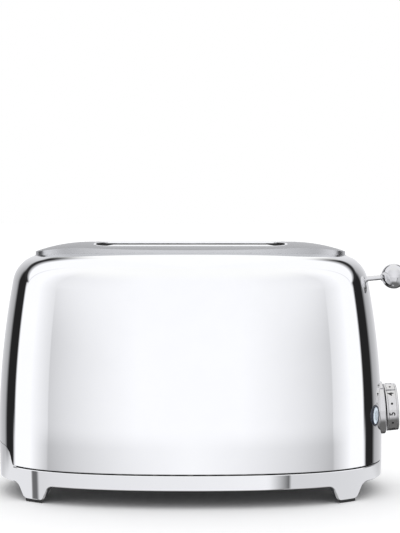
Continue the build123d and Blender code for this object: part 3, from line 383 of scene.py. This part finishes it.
def brighten_sides(mat, colour):
    """Painted highlight round a satin face: faces that don't look up take a lighter colour."""
    tree = mat.node_tree
    shader = tree.nodes["Principled BSDF"]
    geometry = tree.nodes.new("ShaderNodeNewGeometry")
    split_normal = tree.nodes.new("ShaderNodeSeparateXYZ")
    tree.links.new(geometry.outputs["True Normal"], split_normal.inputs[0])
    upward = tree.nodes.new("ShaderNodeMapRange")
    upward.inputs["From Min"].default_value = FACES_SIDEWAYS
    upward.inputs["From Max"].default_value = FACES_UP
    tree.links.new(split_normal.outputs[2], upward.inputs["Value"])
    mix = tree.nodes.new("ShaderNodeMix")
    mix.data_type = "RGBA"
    tree.links.new(upward.outputs["Result"], mix.inputs[0])
    mix.inputs[6].default_value = (*colour, 1)
    tree.links.new(shader.inputs["Base Color"].links[0].from_socket, mix.inputs[7])
    tree.links.new(mix.outputs[2], shader.inputs["Base Color"])


# the top plate's edge faces painted lighter as their highlight
brighten_sides(MAT["satin_plate"], (0.60, 0.605, 0.615))
node_slot = {s["node"]: s["material_slot"] for s in frame["record"]["subparts"]}
for node_name, node in frame["nodes"].items():
    node.data.materials.clear()
    node.data.materials.append(MAT[node_slot[node_name]])
    smooth(node, 30)

# ---------------------------------------------------------------- shell
COLUMNS = 384
column_t = np.linspace(0, 4, COLUMNS, endpoint=False)
ux, uy = unit_outline(column_t)


def opening_height(wall):
    """For each column, the height where the form meets the upright wall of the plate's opening."""
    low, high = np.full(COLUMNS, 150.0), np.full(COLUMNS, SHELL_TOP - wall - 1e-3)
    for _ in range(50):
        mid = (low + high) / 2
        x = END.width(mid, wall) * ux / (PLATE_HALF_LENGTH + PLATE_GAP)
        y = SIDE.width(mid, wall) * uy / (PLATE_HALF_WIDTH + PLATE_GAP)
        ring_x, ring_y = unit_outline(outline_t(x, y))
        outside = np.hypot(x, y) > np.hypot(ring_x, ring_y)
        low, high = np.where(outside, mid, low), np.where(outside, high, mid)
    return low


def form_row(z, wall=0.0, inset=0.0):
    """One ring of the shell at a height, on its outer face or a wall further in."""
    z = np.broadcast_to(np.asarray(z, float), (COLUMNS,))
    return np.stack([(END.width(z, wall) - inset) * ux, (SIDE.width(z, wall) - inset) * uy, z], -1)


EDGE_R = 0.5
SIDE_START, SIDE_ROWS, INNER_ROWS = 45.5, 72, 24
CROWDING = 2.2         # the rows crowd together towards the top
outer_top, inner_top = opening_height(0.0), opening_height(SHELL_WALL)
rows = []
for inset, rise in arc(EDGE_R, EDGE_R, EDGE_R, 270, 180, 5):
    rows.append(form_row(SHELL_BOTTOM + rise, inset=inset))
for z in (32.0, 38.0, 44.0):
    rows.append(form_row(z))
for step in np.linspace(0, 1, SIDE_ROWS):
    rows.append(form_row(outer_top - (outer_top - SIDE_START) * (1 - step) ** CROWDING))
rows.append(form_row(inner_top, SHELL_WALL))
for step in np.linspace(0.06, 1, INNER_ROWS):
    rows.append(form_row(inner_top - (inner_top - SHELL_BOTTOM) * step, SHELL_WALL))
shell = make_object("shell", np.concatenate(rows), grid_faces(len(rows), COLUMNS, wrap_rows=True))


def ear_ring(grow, x):
    """Outline of the crumb tray's front seen along X."""
    foot, shoulder, crest, arch = TRAY_FOOT + grow, 46.0 + grow, 39.0 + grow, 41.0 + grow
    half = [(foot, BAND_BOTTOM - 5), (foot, BAND_TOP + 0.6)]
    half += [(foot - 1.9, 29.4), (foot - 3.1, 32.6 + grow / 2)]
    half += [(foot - 4.9, 35.6 + grow), (foot - 8.6, 38.2 + grow)]
    across = np.linspace(shoulder - 6, 0, 12)
    half += [(y, crest + (arch - crest) * (1 - (y / shoulder) ** 2)) for y in across]
    return [(x, -y, z) for y, z in half] + [(x, y, z) for y, z in half[-2::-1]]


def ring_on(origin, axis, radius, count=64):
    """Circle of points square to an axis."""
    axis = Vector(axis).normalized()
    side = (Vector((0, 1, 0)) - axis * axis.y).normalized()
    other = axis.cross(side)
    spokes = [2 * math.pi * i / count for i in range(count)]
    return [tuple(Vector(origin) + (side * math.cos(a) + other * math.sin(a)) * radius) for a in spokes]


DIAL_TILT = math.radians(4.0)
DIAL_ORIGIN = Vector((148.2, 0, 63.8))
DIAL_AXIS = Vector((math.cos(DIAL_TILT), 0, math.sin(DIAL_TILT)))
BUTTON_TURN = math.radians(22.0)
BUTTONS = {}
for button, side in (("front", -1), ("rear", 1)):
    BUTTONS[button] = (
        Vector((144.3, side * 40.0, 63.0)),
        Vector((math.cos(BUTTON_TURN), side * math.sin(BUTTON_TURN), 0)),
    )
EAR_CUT_X, EAR_CUT = -165.0, (60, 0, 0)
LEVER_CUT_X, LEVER_CUT = 120.0, (50, 0, 0)
LEVER_SLOT_LOW, LEVER_SLOT_HIGH, LEVER_SLOT_R = 106.55, 168.95, 3.5
DIAL_HOLE_R, DIAL_HOLE_DEPTH = 12.0, 24
BUTTON_HOLE_R, BUTTON_HOLE_DEPTH = 8.45, 16
lever_ring = [(LEVER_CUT_X, y, LEVER_SLOT_HIGH + z) for y, z in arc(0, 0, LEVER_SLOT_R, 0, 180, 20)]
lever_ring += [(LEVER_CUT_X, y, LEVER_SLOT_LOW + z) for y, z in arc(0, 0, LEVER_SLOT_R, 180, 360, 20)]


def hole_cutter(name, origin, axis, radius, depth):
    """Round cutter, half of it on each side of the origin."""
    return cutter(name, ring_on(origin - axis * (depth / 2), axis, radius), tuple(axis * depth))


tools = [
    cutter("ear_cut", ear_ring(PLATE_GAP, EAR_CUT_X), EAR_CUT),
    cutter("lever_cut", lever_ring, LEVER_CUT),
    hole_cutter("dial_cut", DIAL_ORIGIN, DIAL_AXIS, DIAL_HOLE_R, DIAL_HOLE_DEPTH),
]
for button, (origin, normal) in BUTTONS.items():
    tools.append(hole_cutter(f"{button}_cut", origin, normal, BUTTON_HOLE_R, BUTTON_HOLE_DEPTH))
cut(shell, tools)
set_form_normals(shell, END.width, SIDE.width)
place(shell, "toaster_body", "chrome", MAT["chrome"], "body_shell")
line_inside(shell, END.width, SIDE.width, SHELL_WALL)

# ---------------------------------------------------------------- base band, legs and the tray's front
BAND_TAPER = math.tan(math.radians(2.0))
BAND_LIMIT = 0.985


def tapered(half, top):
    """Half width that is full at the top and shrinks downwards with the band's taper."""
    def width(z):
        return half - (top - np.asarray(z, float)) * BAND_TAPER
    return width


LEG_X, LEG_HALF, LEG_LEAN = 121.5, 7.2, 66.0
LEG_SWEEP, LEG_ROUND = 5.5, 3.0
FINE_X, FINE_REACH, COARSE_STEP = 121.7, 17, 10


def leg_drop(x):
    """Underside of the band along X: it sweeps down into each leg, rounded at the top and at the foot."""
    away = np.abs(np.abs(x) - LEG_X)
    lean = math.radians(LEG_LEAN)
    top_corner = LEG_HALF + (BAND_BOTTOM - PAD_T) / math.tan(lean)
    foot_centre = LEG_HALF - LEG_ROUND * math.tan(lean / 2)
    top_centre = top_corner + LEG_SWEEP * math.tan(lean / 2)
    foot_run, top_run = np.maximum(away - foot_centre, 0), np.maximum(top_centre - away, 0)
    foot = PAD_T + LEG_ROUND - np.sqrt(np.maximum(LEG_ROUND ** 2 - foot_run ** 2, 0))
    side = PAD_T + (away - LEG_HALF) * math.tan(lean)
    top = BAND_BOTTOM - LEG_SWEEP + np.sqrt(np.maximum(LEG_SWEEP ** 2 - top_run ** 2, 0))
    on_foot = away < foot_centre + LEG_ROUND * math.sin(lean)
    on_top = away > top_centre - LEG_SWEEP * math.sin(lean)
    return np.where(on_foot, foot, np.where(on_top, top, side))


def band_columns():
    """Outline parameters with extra columns at the legs, leaving out the tray's front at the -X end."""
    fine = np.linspace(0, 4, 4001)[:-1]
    x, y = unit_outline(fine)
    near_leg = np.abs(np.abs(x) * HALF_LENGTH - FINE_X) < FINE_REACH
    keep = near_leg | (np.arange(fine.size) % COARSE_STEP == 0)
    t = fine[keep]
    x, y = unit_outline(t)
    gap = (x < 0) & (np.abs(y) * HALF_DEPTH < TRAY_FOOT + PLATE_GAP)
    edge = outline_t(-1.0, 0.0)
    t = t[~gap]
    return np.concatenate([t[t > edge], t[t < edge] + 4.0])


band_t = band_columns()
bux, buy = unit_outline(band_t)
band_bottom = leg_drop(bux * HALF_LENGTH)
TOP_R, BOTTOM_R = 1.0, 0.8
band_rows = []


def band_row(z, inset):
    """One row of the band; z may differ from column to column."""
    taper = (BAND_TOP - z) * BAND_TAPER + inset
    x, y = (HALF_LENGTH - taper) * bux, (HALF_DEPTH - taper) * buy
    return np.stack([x, y, np.broadcast_to(z, bux.shape)], -1)


for inset, rise in arc(BOTTOM_R, BOTTOM_R, BOTTOM_R, 270, 180, 4):
    band_rows.append(band_row(band_bottom + rise, inset))
for step in np.linspace(0.1, 1, 12):
    low = band_bottom + BOTTOM_R
    band_rows.append(band_row(low + (BAND_TOP - TOP_R - low) * step, 0.0))
for inset, rise in arc(TOP_R, -TOP_R, TOP_R, 180, 90, 6)[1:]:
    band_rows.append(band_row(np.full(bux.shape, BAND_TOP + rise), inset))
band_rows.append(band_row(np.full(bux.shape, BAND_TOP), BAND_WALL))
for step in np.linspace(0.2, 1, 5):
    drop = (BAND_TOP - band_bottom) * step
    band_rows.append(band_row(BAND_TOP - drop, BAND_WALL - drop * BAND_TAPER))
count = len(band_t)
band_faces = grid_faces(len(band_rows), count, wrap_rows=True, wrap_cols=False)
band_faces.append(tuple(r * count for r in range(len(band_rows))))
band_faces.append(tuple(r * count + count - 1 for r in range(len(band_rows) - 1, -1, -1)))
band = make_object("band", np.concatenate(band_rows), band_faces)
GLAND_X, GLAND_Z, GLAND_R = 66.0, 19.3, 5.2
gland_ring = [(GLAND_X + x, 100.0, GLAND_Z + z) for x, z in arc(0, 0, GLAND_R, 0, 360, 48)[:-1]]
cut(band, [cutter("gland_cut", gland_ring, (0, -25, 0))])
set_form_normals(band, tapered(HALF_LENGTH, BAND_TOP), tapered(HALF_DEPTH, BAND_TOP), BAND_LIMIT)
place(band, "toaster_body", "chrome", MAT["chrome"], "base_band")

PAD_HALF, PAD_SHIFT, PAD_OUTER, PAD_INNER, PAD_ROUND = 6.6, 1.25, 1.2, 19.0, 0.7


def pad_outline(side_x, side_y, shrink):
    """Plan of one rubber pad, between two offsets of the toaster's outline."""
    quarter_x, quarter_y = unit_outline(np.linspace(0, 1, 400))
    middle = LEG_X - PAD_SHIFT
    x = np.linspace(middle - PAD_HALF + shrink, middle + PAD_HALF - shrink, 14)
    edges = []
    for inset in (PAD_OUTER + shrink, PAD_INNER - shrink):
        edge_x, edge_y = (HALF_LENGTH - inset) * quarter_x, (HALF_DEPTH - inset) * quarter_y
        edges.append(np.interp(x, edge_x[::-1], edge_y[::-1]))
    outer, inner = edges
    plan = np.concatenate([np.stack([x, outer], -1), np.stack([x, inner], -1)[::-1]])
    return plan * np.array([side_x, side_y])


PADS = {"front_left": (-1, -1), "front_right": (1, -1), "rear_left": (-1, 1), "rear_right": (1, 1)}
for pad_name, (side_x, side_y) in PADS.items():
    levels = [(0.0, PAD_ROUND), (PAD_ROUND * 0.3, PAD_ROUND * 0.3), (PAD_ROUND, 0.0), (PAD_T, 0.0)]
    pad_rows = []
    for z, shrink in levels:
        plan = pad_outline(side_x, side_y, shrink)
        pad_rows.append(np.column_stack([plan, np.full(len(plan), z)]))
    size = len(pad_rows[0])
    pad_faces = grid_faces(len(levels), size)
    for first in (0, (len(levels) - 1) * size):
        last = first + size - 1
        pad_faces += [(first + i, first + i + 1, last - 1 - i, last - i) for i in range(size // 2 - 1)]
    pad = make_object(f"rubber_foot_{pad_name}", np.concatenate(pad_rows), pad_faces)
    place(smooth(pad, 40), "toaster_body", "pad_rubber", MAT["pad_rubber"], f"foot_pad_{pad_name}")

TRAY_T, FRONT_TOP, FRONT_ROWS = 2.2, 42.5, 12
front_x, front_y = tapered(HALF_LENGTH, FRONT_TOP), tapered(HALF_DEPTH, FRONT_TOP)
tray_rows = []
for z in np.linspace(BAND_BOTTOM, FRONT_TOP, FRONT_ROWS):
    wx, wy = front_x(z), front_y(z)
    tray_rows.append(np.stack([wx * ux, wy * uy, np.full(ux.shape, z)], -1))
for z in (FRONT_TOP, BAND_BOTTOM):
    wx, wy = HALF_LENGTH - TRAY_T, HALF_DEPTH - TRAY_T
    tray_rows.append(np.stack([wx * ux, wy * uy, np.full(ux.shape, z)], -1))
tray_faces = grid_faces(len(tray_rows), COLUMNS, wrap_rows=True)
tray_front = make_object("tray_door", np.concatenate(tray_rows), tray_faces)
cut(tray_front, [cutter("ear_keep", ear_ring(0.0, EAR_CUT_X), EAR_CUT)], "INTERSECT")
set_form_normals(tray_front, front_x, front_y, BAND_LIMIT)
place(tray_front, "tray", "chrome", MAT["chrome"], "tray_front")

# ---------------------------------------------------------------- slot lips
CORNER_STEPS, PATH_STEP = 16, 4


def slot_path(y_middle):
    """Closed path round a slot as (x, y, outward x, outward y)."""
    out = []
    hx, hy = SLOT_HALF_LENGTH - SLOT_CORNER, SLOT_HALF_WIDTH - SLOT_CORNER
    for sx, sy, start in ((1, -1, -90), (1, 1, 0), (-1, 1, 90), (-1, -1, 180)):
        for i in range(CORNER_STEPS + 1):
            a = math.radians(start + 90 * i / CORNER_STEPS)
            nx, ny = math.cos(a), math.sin(a)
            out.append((sx * hx + SLOT_CORNER * nx, sy * hy + SLOT_CORNER * ny, nx, ny))
    dense = []
    for here, following in zip(out, out[1:] + out[:1]):
        pieces = max(1, int(math.dist(here[:2], following[:2]) / PATH_STEP))
        for i in range(pieces):
            x, y, nx, ny = (p + (q - p) * (i / pieces) for p, q in zip(here, following))
            dense.append((x, y + y_middle, nx, ny))
    return np.array(dense)


# depths below the plate where painted shade starts in the slot throats: along the middle and at the ends
THROAT_BOTTOM, THROAT_BRIGHT, THROAT_BRIGHT_END = 182.0, 5.0, 0.6
LIP_FALL_START, LIP_FALL, LIP_END_RISE = 60.0, 6.0, 0.12
LIP_SECTION = [(-0.8, None), (-0.8, -6.0), (-0.8, -2.0), (-0.8, -0.6), (-0.8, 0.2)]
for lip_angle in range(170, 0, -12):
    a = math.radians(lip_angle)
    LIP_SECTION.append((0.2 + 1.0 * math.cos(a), 0.1 + 1.05 * math.sin(a)))
LIP_SECTION += [(1.2, 0.03), (0.0, 0.03), (0.0, None)]
for lip_name, lip_y in (("front", -SLOT_Y), ("rear", SLOT_Y)):
    path = slot_path(lip_y)
    lip_rows = []
    # the lips sink almost to the plate at both ends of a slot
    ending = np.clip((np.abs(path[:, 0]) - LIP_FALL_START) / LIP_FALL, 0, 1)
    low_end = 1 - (1 - LIP_END_RISE) * ending ** 2 * (3 - 2 * ending)
    for offset, rise in LIP_SECTION:
        x, y = path[:, 0] + path[:, 2] * offset, path[:, 1] + path[:, 3] * offset
        if rise is None:
            z = np.full(x.shape, THROAT_BOTTOM)
        else:
            z = crown_z(x, y) + (rise * low_end if rise > 0 else rise)
        lip_rows.append(np.stack([x, y, z], -1))
    lip_faces = grid_faces(len(lip_rows), len(path), wrap_rows=True)
    lip = make_object(f"lip_{lip_name}", np.concatenate(lip_rows), lip_faces)
    place(smooth(lip, 40), "toaster_body", "lip_chrome", MAT["lip_chrome"], f"slot_lip_{lip_name}")
    # throat faces below that depth get painted shade, the near-black material, so the slot ends show dark
    lip.data.materials.append(MAT["painted_shade_dark"])
    for polygon in lip.data.polygons:
        x, y, z = (c / MM for c in polygon.center)
        bright = THROAT_BRIGHT if abs(x - BODY_X) < LIP_FALL_START else THROAT_BRIGHT_END
        if z < crown_z(x - BODY_X, y) - bright:
            polygon.material_index = 1

# ---------------------------------------------------------------- lever
STEM_TILT = math.radians(5.5)
BALL = Vector((162.1, 0, 169.4))
STEM_AXIS = Vector((-math.cos(STEM_TILT), 0, -math.sin(STEM_TILT)))
BALL_R = 10
ball_angles = [math.radians(a) for a in np.linspace(0.01, 163, 60)]
ball_profile = [(BALL_R * math.sin(a), -BALL_R * math.cos(a)) for a in ball_angles]
ball_profile += [(2.75, 9.75), (2.6, 10.3), (2.1, 10.4), (2.05, 8.0), (0.01, 8.0)]
place(
    lathe("grip_ball", ball_profile, BALL, STEM_AXIS, 96),
    "carriage_body", "chrome", MAT["chrome_with_painted_shade"], "lever_ball",
)
stem_profile = [(0.01, 8.2), (1.9, 8.2), (2.0, 8.4)] + [(2.0, h) for h in np.linspace(12, 44, 9)]
stem_profile += [(1.8, 45.2), (0.01, 45.2)]
place(
    lathe("grip_stem", stem_profile, BALL, STEM_AXIS, 48),
    "carriage_body", "chrome", MAT["chrome_with_painted_shade"], "lever_stem",
)

# ---------------------------------------------------------------- dial
bezel_profile = [(4.2, 1.2), (12.0, 1.2), (12.0, -2.0), (20.9, -2.0)]
bezel_profile += [(20.95, h) for h in (-1.0, 1.0, 3.0, 4.8)] + arc(20.15, 5.5, 0.8, 0, 90, 6)
bezel_profile += [(19.7, 6.28), (19.3, 5.9), (18.8, 5.6), (12.0, 5.5), (4.2, 5.5)]
place(
    lathe("dial_collar", bezel_profile, DIAL_ORIGIN, DIAL_AXIS, 160),
    "toaster_body", "bezel_chrome", MAT["bezel_chrome"], "dial_bezel",
)


KNOB_R, KNOB_FOOT, KNOB_TAPER = 19.0, 7.0, 2.0


def knob_radius(height):
    """Radius of the knob's tapered rim at a height above the dial's origin."""
    return KNOB_R - (height - KNOB_FOOT) * math.tan(math.radians(KNOB_TAPER))


knob_profile = [(0.01, 6.95), (16.6, 6.95), (17.2, 7.1), (18.4, 7.2)] + arc(18.5, 7.7, 0.47, -90, 0, 4)
for groove in (8.6, 15.2):
    knob_profile += [(knob_radius(groove - 0.25), groove - 0.25), (knob_radius(groove) - 0.22, groove)]
    knob_profile += [(knob_radius(groove + 0.25), groove + 0.25)]
knob_profile += [(knob_radius(15.9), 15.9)] + arc(knob_radius(16) - 0.95, 16.0, 0.95, 0, 90, 6)
knob_profile += [(16.4, 16.95), (16.2, 16.6), (15.4, 16.45), (9.0, 16.3), (0.01, 16.25)]
place(
    lathe("dial_grip", knob_profile, DIAL_ORIGIN, DIAL_AXIS, 160),
    "dial", "knob_satin", MAT["knob_satin"], "dial_knob",
)

DIAL_SIDE = Vector((0, 1, 0))
DIAL_UP = DIAL_AXIS.cross(DIAL_SIDE)
DIGIT_SIZE, DIGIT_BOLD, DIGIT_MIDDLE = 6.4, 0.17, 11.6
LAST_NUMBER, TOP_NUMBER, NUMBER_STEP = 6, 3, 50.0
DOT_WIDE, DOT_HIGH, DOT_CORNERS = 2.9, 0.95, 16


def on_rim(angle, height, lift):
    """Point on the knob's rim; angle in degrees, measured from the front (-Y) upwards."""
    a = math.radians(angle)
    radius = knob_radius(height) + lift
    return DIAL_ORIGIN + DIAL_AXIS * height + (DIAL_SIDE * -math.cos(a) + DIAL_UP * math.sin(a)) * radius


marks = bmesh.new()
for number in range(1, LAST_NUMBER + 1):
    text = bpy.data.curves.new("digit", "FONT")
    text.body = str(number)
    text.size = DIGIT_SIZE
    text.align_x = "CENTER"
    text.align_y = "CENTER"
    text.extrude = 0.03
    text.offset = DIGIT_BOLD
    text.resolution_u = 4
    digit = bpy.data.objects.new("digit", text)
    scene.collection.objects.link(digit)
    mesh = bpy.data.meshes.new_from_object(digit.evaluated_get(bpy.context.evaluated_depsgraph_get()))
    bpy.data.objects.remove(digit)
    work = bmesh.new()
    work.from_mesh(mesh)
    bmesh.ops.subdivide_edges(work, edges=work.edges, cuts=1)
    middle = 90.0 - NUMBER_STEP * (number - TOP_NUMBER)
    for v in work.verts:
        angle = middle + math.degrees(v.co.x / knob_radius(DIGIT_MIDDLE))
        v.co = on_rim(angle, DIGIT_MIDDLE - v.co.y, 0.02 + max(v.co.z, 0))
    work.to_mesh(mesh)
    work.free()
    marks.from_mesh(mesh)
    bpy.data.meshes.remove(mesh)
    if number < LAST_NUMBER:
        hub = middle - NUMBER_STEP / 2
        dot = []
        for i in range(DOT_CORNERS):
            a = 2 * math.pi * i / DOT_CORNERS
            spot = on_rim(hub + DOT_WIDE * math.cos(a), DIGIT_MIDDLE + DOT_HIGH * math.sin(a), 0.05)
            dot.append(marks.verts.new(spot))
        marks.faces.new(dot)
for v in marks.verts:
    v.co = (v.co + Vector((BODY_X, 0, 0))) * MM
bmesh.ops.recalc_face_normals(marks, faces=marks.faces)
numbers_mesh = bpy.data.meshes.new("dial_numbers")
marks.to_mesh(numbers_mesh)
marks.free()
numbers = bpy.data.objects.new("dial_numbers", numbers_mesh)
scene.collection.objects.link(numbers)
place(numbers, "dial", "knob_satin", MAT["ink"])

# ---------------------------------------------------------------- buttons
WAVE_STEPS = 24
WAVE_HEIGHT, WAVE_GAP, WAVE_INK = 8.4, 2.6, 0.42
for button, (origin, normal) in BUTTONS.items():
    ring_profile = [(6.95, -4.0), (8.3, -4.0), (8.3, 0.25)] + arc(7.95, 0.25, 0.35, 0, 90, 4)
    ring_profile += arc(7.3, 0.25, 0.35, 90, 180, 4)
    place(
        lathe(f"button_rim_{button}", ring_profile, origin, normal, 96),
        "toaster_body", "button_ring", MAT["button_ring"], f"button_ring_{button}",
    )
    cap_profile = [(0.01, -6.9), (1.4, -6.9), (1.5, -3.6), (6.5, -3.5), (6.6, -3.3), (6.6, 0.0)]
    cap_profile += arc(6.1, 0.0, 0.5, 0, 80, 4) + [(4.0, 0.62), (2.0, 0.72), (0.01, 0.75)]
    place(
        lathe(f"button_face_{button}", cap_profile, origin, normal, 96),
        f"button_{button}", "button_cap", MAT["button_cap"], f"button_cap_{button}",
    )
    # three rising waves printed on the cap
    side = Vector((0, 0, 1)).cross(normal)
    points, faces = [], []
    for line in (-1, 0, 1):
        first = len(points)
        for i in range(WAVE_STEPS + 1):
            v = WAVE_HEIGHT * (i / WAVE_STEPS - 0.5) * (1.0 if line == 0 else 0.75)
            u = line * WAVE_GAP + 0.75 * math.sin(v * 1.5)
            for edge in (-WAVE_INK, WAVE_INK):
                lift = 0.80 - 0.008 * (u * u + v * v)
                points.append(tuple(origin + side * (u + edge) + Vector((0, 0, v)) + normal * lift))
        faces += [(f, f + 2, f + 3, f + 1) for f in range(first, first + 2 * WAVE_STEPS, 2)]
    waves = make_object(f"button_waves_{button}", points, faces)
    place(waves, f"button_{button}", "button_ring", MAT["button_ink"])

# ---------------------------------------------------------------- floor, light and camera
floor_mesh = bpy.data.meshes.new("floor")
REACH = 6.0
floor_corners = [(x * REACH, y * REACH, 0) for x, y in ((-1, -1), (1, -1), (1, 1), (-1, 1))]
floor_mesh.from_pydata(floor_corners, [], [(0, 1, 2, 3)])
floor = bpy.data.objects.new("floor", floor_mesh)
scene.collection.objects.link(floor)
floor_mesh.materials.append(material("floor", (0.92, 0.92, 0.92), 0, 0.9))
floor.visible_glossy = False

world = bpy.data.worlds.new("studio")
scene.world = world
world.use_nodes = True
tree = world.node_tree
tree.nodes.clear()


def node(kind, **inputs):
    """New world node; an input is a value or another node's output."""
    made = tree.nodes.new(kind)
    for key, value in inputs.items():
        if hasattr(value, "is_linked"):
            tree.links.new(value, made.inputs[key])
        else:
            made.inputs[key].default_value = value
    return made


def calc(operation, a, b=0.0):
    """Output of a maths node."""
    made = tree.nodes.new("ShaderNodeMath")
    made.operation = operation
    for socket, value in zip(made.inputs, (a, b)):
        if hasattr(value, "is_linked"):
            tree.links.new(value, socket)
        else:
            socket.default_value = value
    return made.outputs[0]


ROOM_TINT = (0.988, 0.990, 1.020)


def light_level(shown):
    """Scene brightness whose mirror image shows as a grey of 0 to 255."""
    s = shown / 255
    linear = s / 12.92 if s <= 0.04045 else ((s + 0.055) / 1.055) ** 2.4
    return linear / 0.9


def ramp(value, low, high, stops):
    """Grey ramp over a range of values; stops are (value, shown grey)."""
    made = tree.nodes.new("ShaderNodeValToRGB")
    made.color_ramp.interpolation = "LINEAR"
    elements = made.color_ramp.elements
    while len(elements) > 1:
        elements.remove(elements[-1])
    for i, (at, shown) in enumerate(stops):
        element = elements[0] if i == 0 else elements.new((at - low) / (high - low))
        element.position = (at - low) / (high - low)
        level = light_level(shown)
        element.color = (*(level * tint for tint in ROOM_TINT), 1)
    scaled = calc("DIVIDE", calc("SUBTRACT", value, low), high - low)
    tree.links.new(scaled, made.inputs["Fac"])
    return made.outputs["Color"]


def steps(value, start, end):
    """0 below start, 1 above end, smooth between."""
    made = tree.nodes.new("ShaderNodeMapRange")
    made.interpolation_type = "SMOOTHSTEP"
    tree.links.new(value, made.inputs["Value"])
    made.inputs["From Min"].default_value = start
    made.inputs["From Max"].default_value = end
    return made.outputs["Result"]


def blend_by(value, start, end, a, b):
    """a below start, b above end, each a level or another node's output."""
    mix = tree.nodes.new("ShaderNodeMix")
    mix.data_type = "RGBA"
    tree.links.new(steps(value, start, end), mix.inputs[0])
    for socket, side_value in ((mix.inputs[6], a), (mix.inputs[7], b)):
        if hasattr(side_value, "is_linked"):
            tree.links.new(side_value, socket)
        else:
            socket.default_value = (side_value, side_value, side_value, 1)
    return mix.outputs[2]


direction = node("ShaderNodeTexCoord").outputs["Generated"]
split = node("ShaderNodeSeparateXYZ", Vector=direction)
dx, dy, dz = split.outputs
azimuth = calc("MULTIPLY", calc("ARCTAN2", dx, calc("MULTIPLY", dy, -1.0)), 180 / math.pi)
height = calc("MULTIPLY", calc("ARCSINE", dz), 180 / math.pi)


# the frame on the right stands a little nearer the camera than the one on the left
nearer = calc("MULTIPLY", calc("MULTIPLY", steps(azimuth, 84.0, 104.0), steps(height, -14.0, -9.0)), 4.8)
turn = calc("ADD", calc("ABSOLUTE", azimuth), nearer)

WHITE, FRAME_DARK = 255, 36
WALL_END, FRAME_EDGE, BACK_EDGE = 82.0, 3.5, 7.5


def room_ring(front, flat, corner_at, corner, side, frame_start, frame_end, behind, back):
    """The room at one height, as angles from the camera's side and shown greys.

    The front wall is even as far as flat and then darkens towards its corner. The side wall starts again
    lighter there and turns white. Behind it stands the dark frame, and then the back wall.
    """
    return ramp(turn, 0, 180, [
        (0, front), (flat, front), (corner_at, corner), (corner_at + 0.6, side), (WALL_END, WHITE),
        (frame_start, WHITE), (frame_start + FRAME_EDGE, FRAME_DARK),
        (frame_end, FRAME_DARK), (frame_end + BACK_EDGE, behind), (180, back),
    ])


low_room = room_ring(248, 1, 61.6, 176, 194, 110.0, 129.5, 172, 228)
middle_room = room_ring(253, 13, 60.6, 207, 224, 107.0, 129.5, 168, 232)
high_room = room_ring(252, 13, 62.0, 232, 234, 103.5, 132.5, 170, 238)
room = blend_by(height, -11.0, -4.5, low_room, middle_room)
room = blend_by(height, 8.0, 24.0, room, high_room)
# the dark bar over the backdrop, and the white ceiling above it
back = calc("MAXIMUM", dy, 0.001)
climb = calc("DIVIDE", dz, back)
bar = ramp(climb, 0.0, 2.0, [(0.0, 45), (0.86, 45), (1.25, 254)])
bar = blend_by(turn, 160.0, 170.0, bar, light_level(254))
back_height = blend_by(climb, 0.58, 0.72, room, bar)
upper = blend_by(turn, 103.0, 107.0, blend_by(height, 42.0, 72.0, room, light_level(253)), back_height)
room_all = blend_by(height, 12.0, 16.0, room, upper)
# the table: pale in front, in shade behind
TABLE_PALE, TABLE_NEAR, TABLE_DARK = 228, 242, 105
front_table = ramp(azimuth, -180, 180, [
    (-180, TABLE_PALE), (-81, TABLE_PALE), (-80, TABLE_DARK), (-74, TABLE_DARK), (-71.5, 215),
    (22, TABLE_NEAR), (31, TABLE_DARK), (32, 210), (180, TABLE_PALE),
])
under_back = blend_by(height, -26.0, -18.0, light_level(62), front_table)
table = blend_by(dy, 0.05, 0.45, front_table, under_back)
table = blend_by(height, -62.0, -34.0, light_level(118), table)
whole = blend_by(height, -11.2, -9.8, table, room_all)
paths = node("ShaderNodeLightPath").outputs
# soft light on the floor: more of it from behind, and a bright horizon that reaches under the base
dome = blend_by(dy, -0.7, 0.7, 1.06, 1.50)
dome = blend_by(height, 2.0, 16.0, 3.2, dome)
lit = blend_by(paths["Is Diffuse Ray"], 0.4, 0.6, whole, dome)
shown = blend_by(paths["Is Camera Ray"], 0.4, 0.6, lit, 1.0)
background = node("ShaderNodeBackground", Color=shown, Strength=1.0)
output = tree.nodes.new("ShaderNodeOutputWorld")
tree.links.new(background.outputs["Background"], output.inputs["Surface"])


CAMERA_DISTANCE, CAMERA_HEIGHT, CAMERA_PITCH = 1.5, 0.2631, 3.28
SENSOR, LENS, SIDE_SHIFT = 36, 127.25, 0.017824
camera_data = bpy.data.cameras.new("camera")
camera = bpy.data.objects.new("camera", camera_data)
scene.collection.objects.link(camera)
camera.location = (BODY_X * MM, -CAMERA_DISTANCE, CAMERA_HEIGHT)
camera.rotation_euler = (math.radians(90 - CAMERA_PITCH), 0, 0)
camera_data.sensor_width = SENSOR
camera_data.sensor_height = SENSOR
camera_data.lens = LENS
camera_data.shift_x = SIDE_SHIFT
camera_data.clip_end = 50
scene.camera = camera
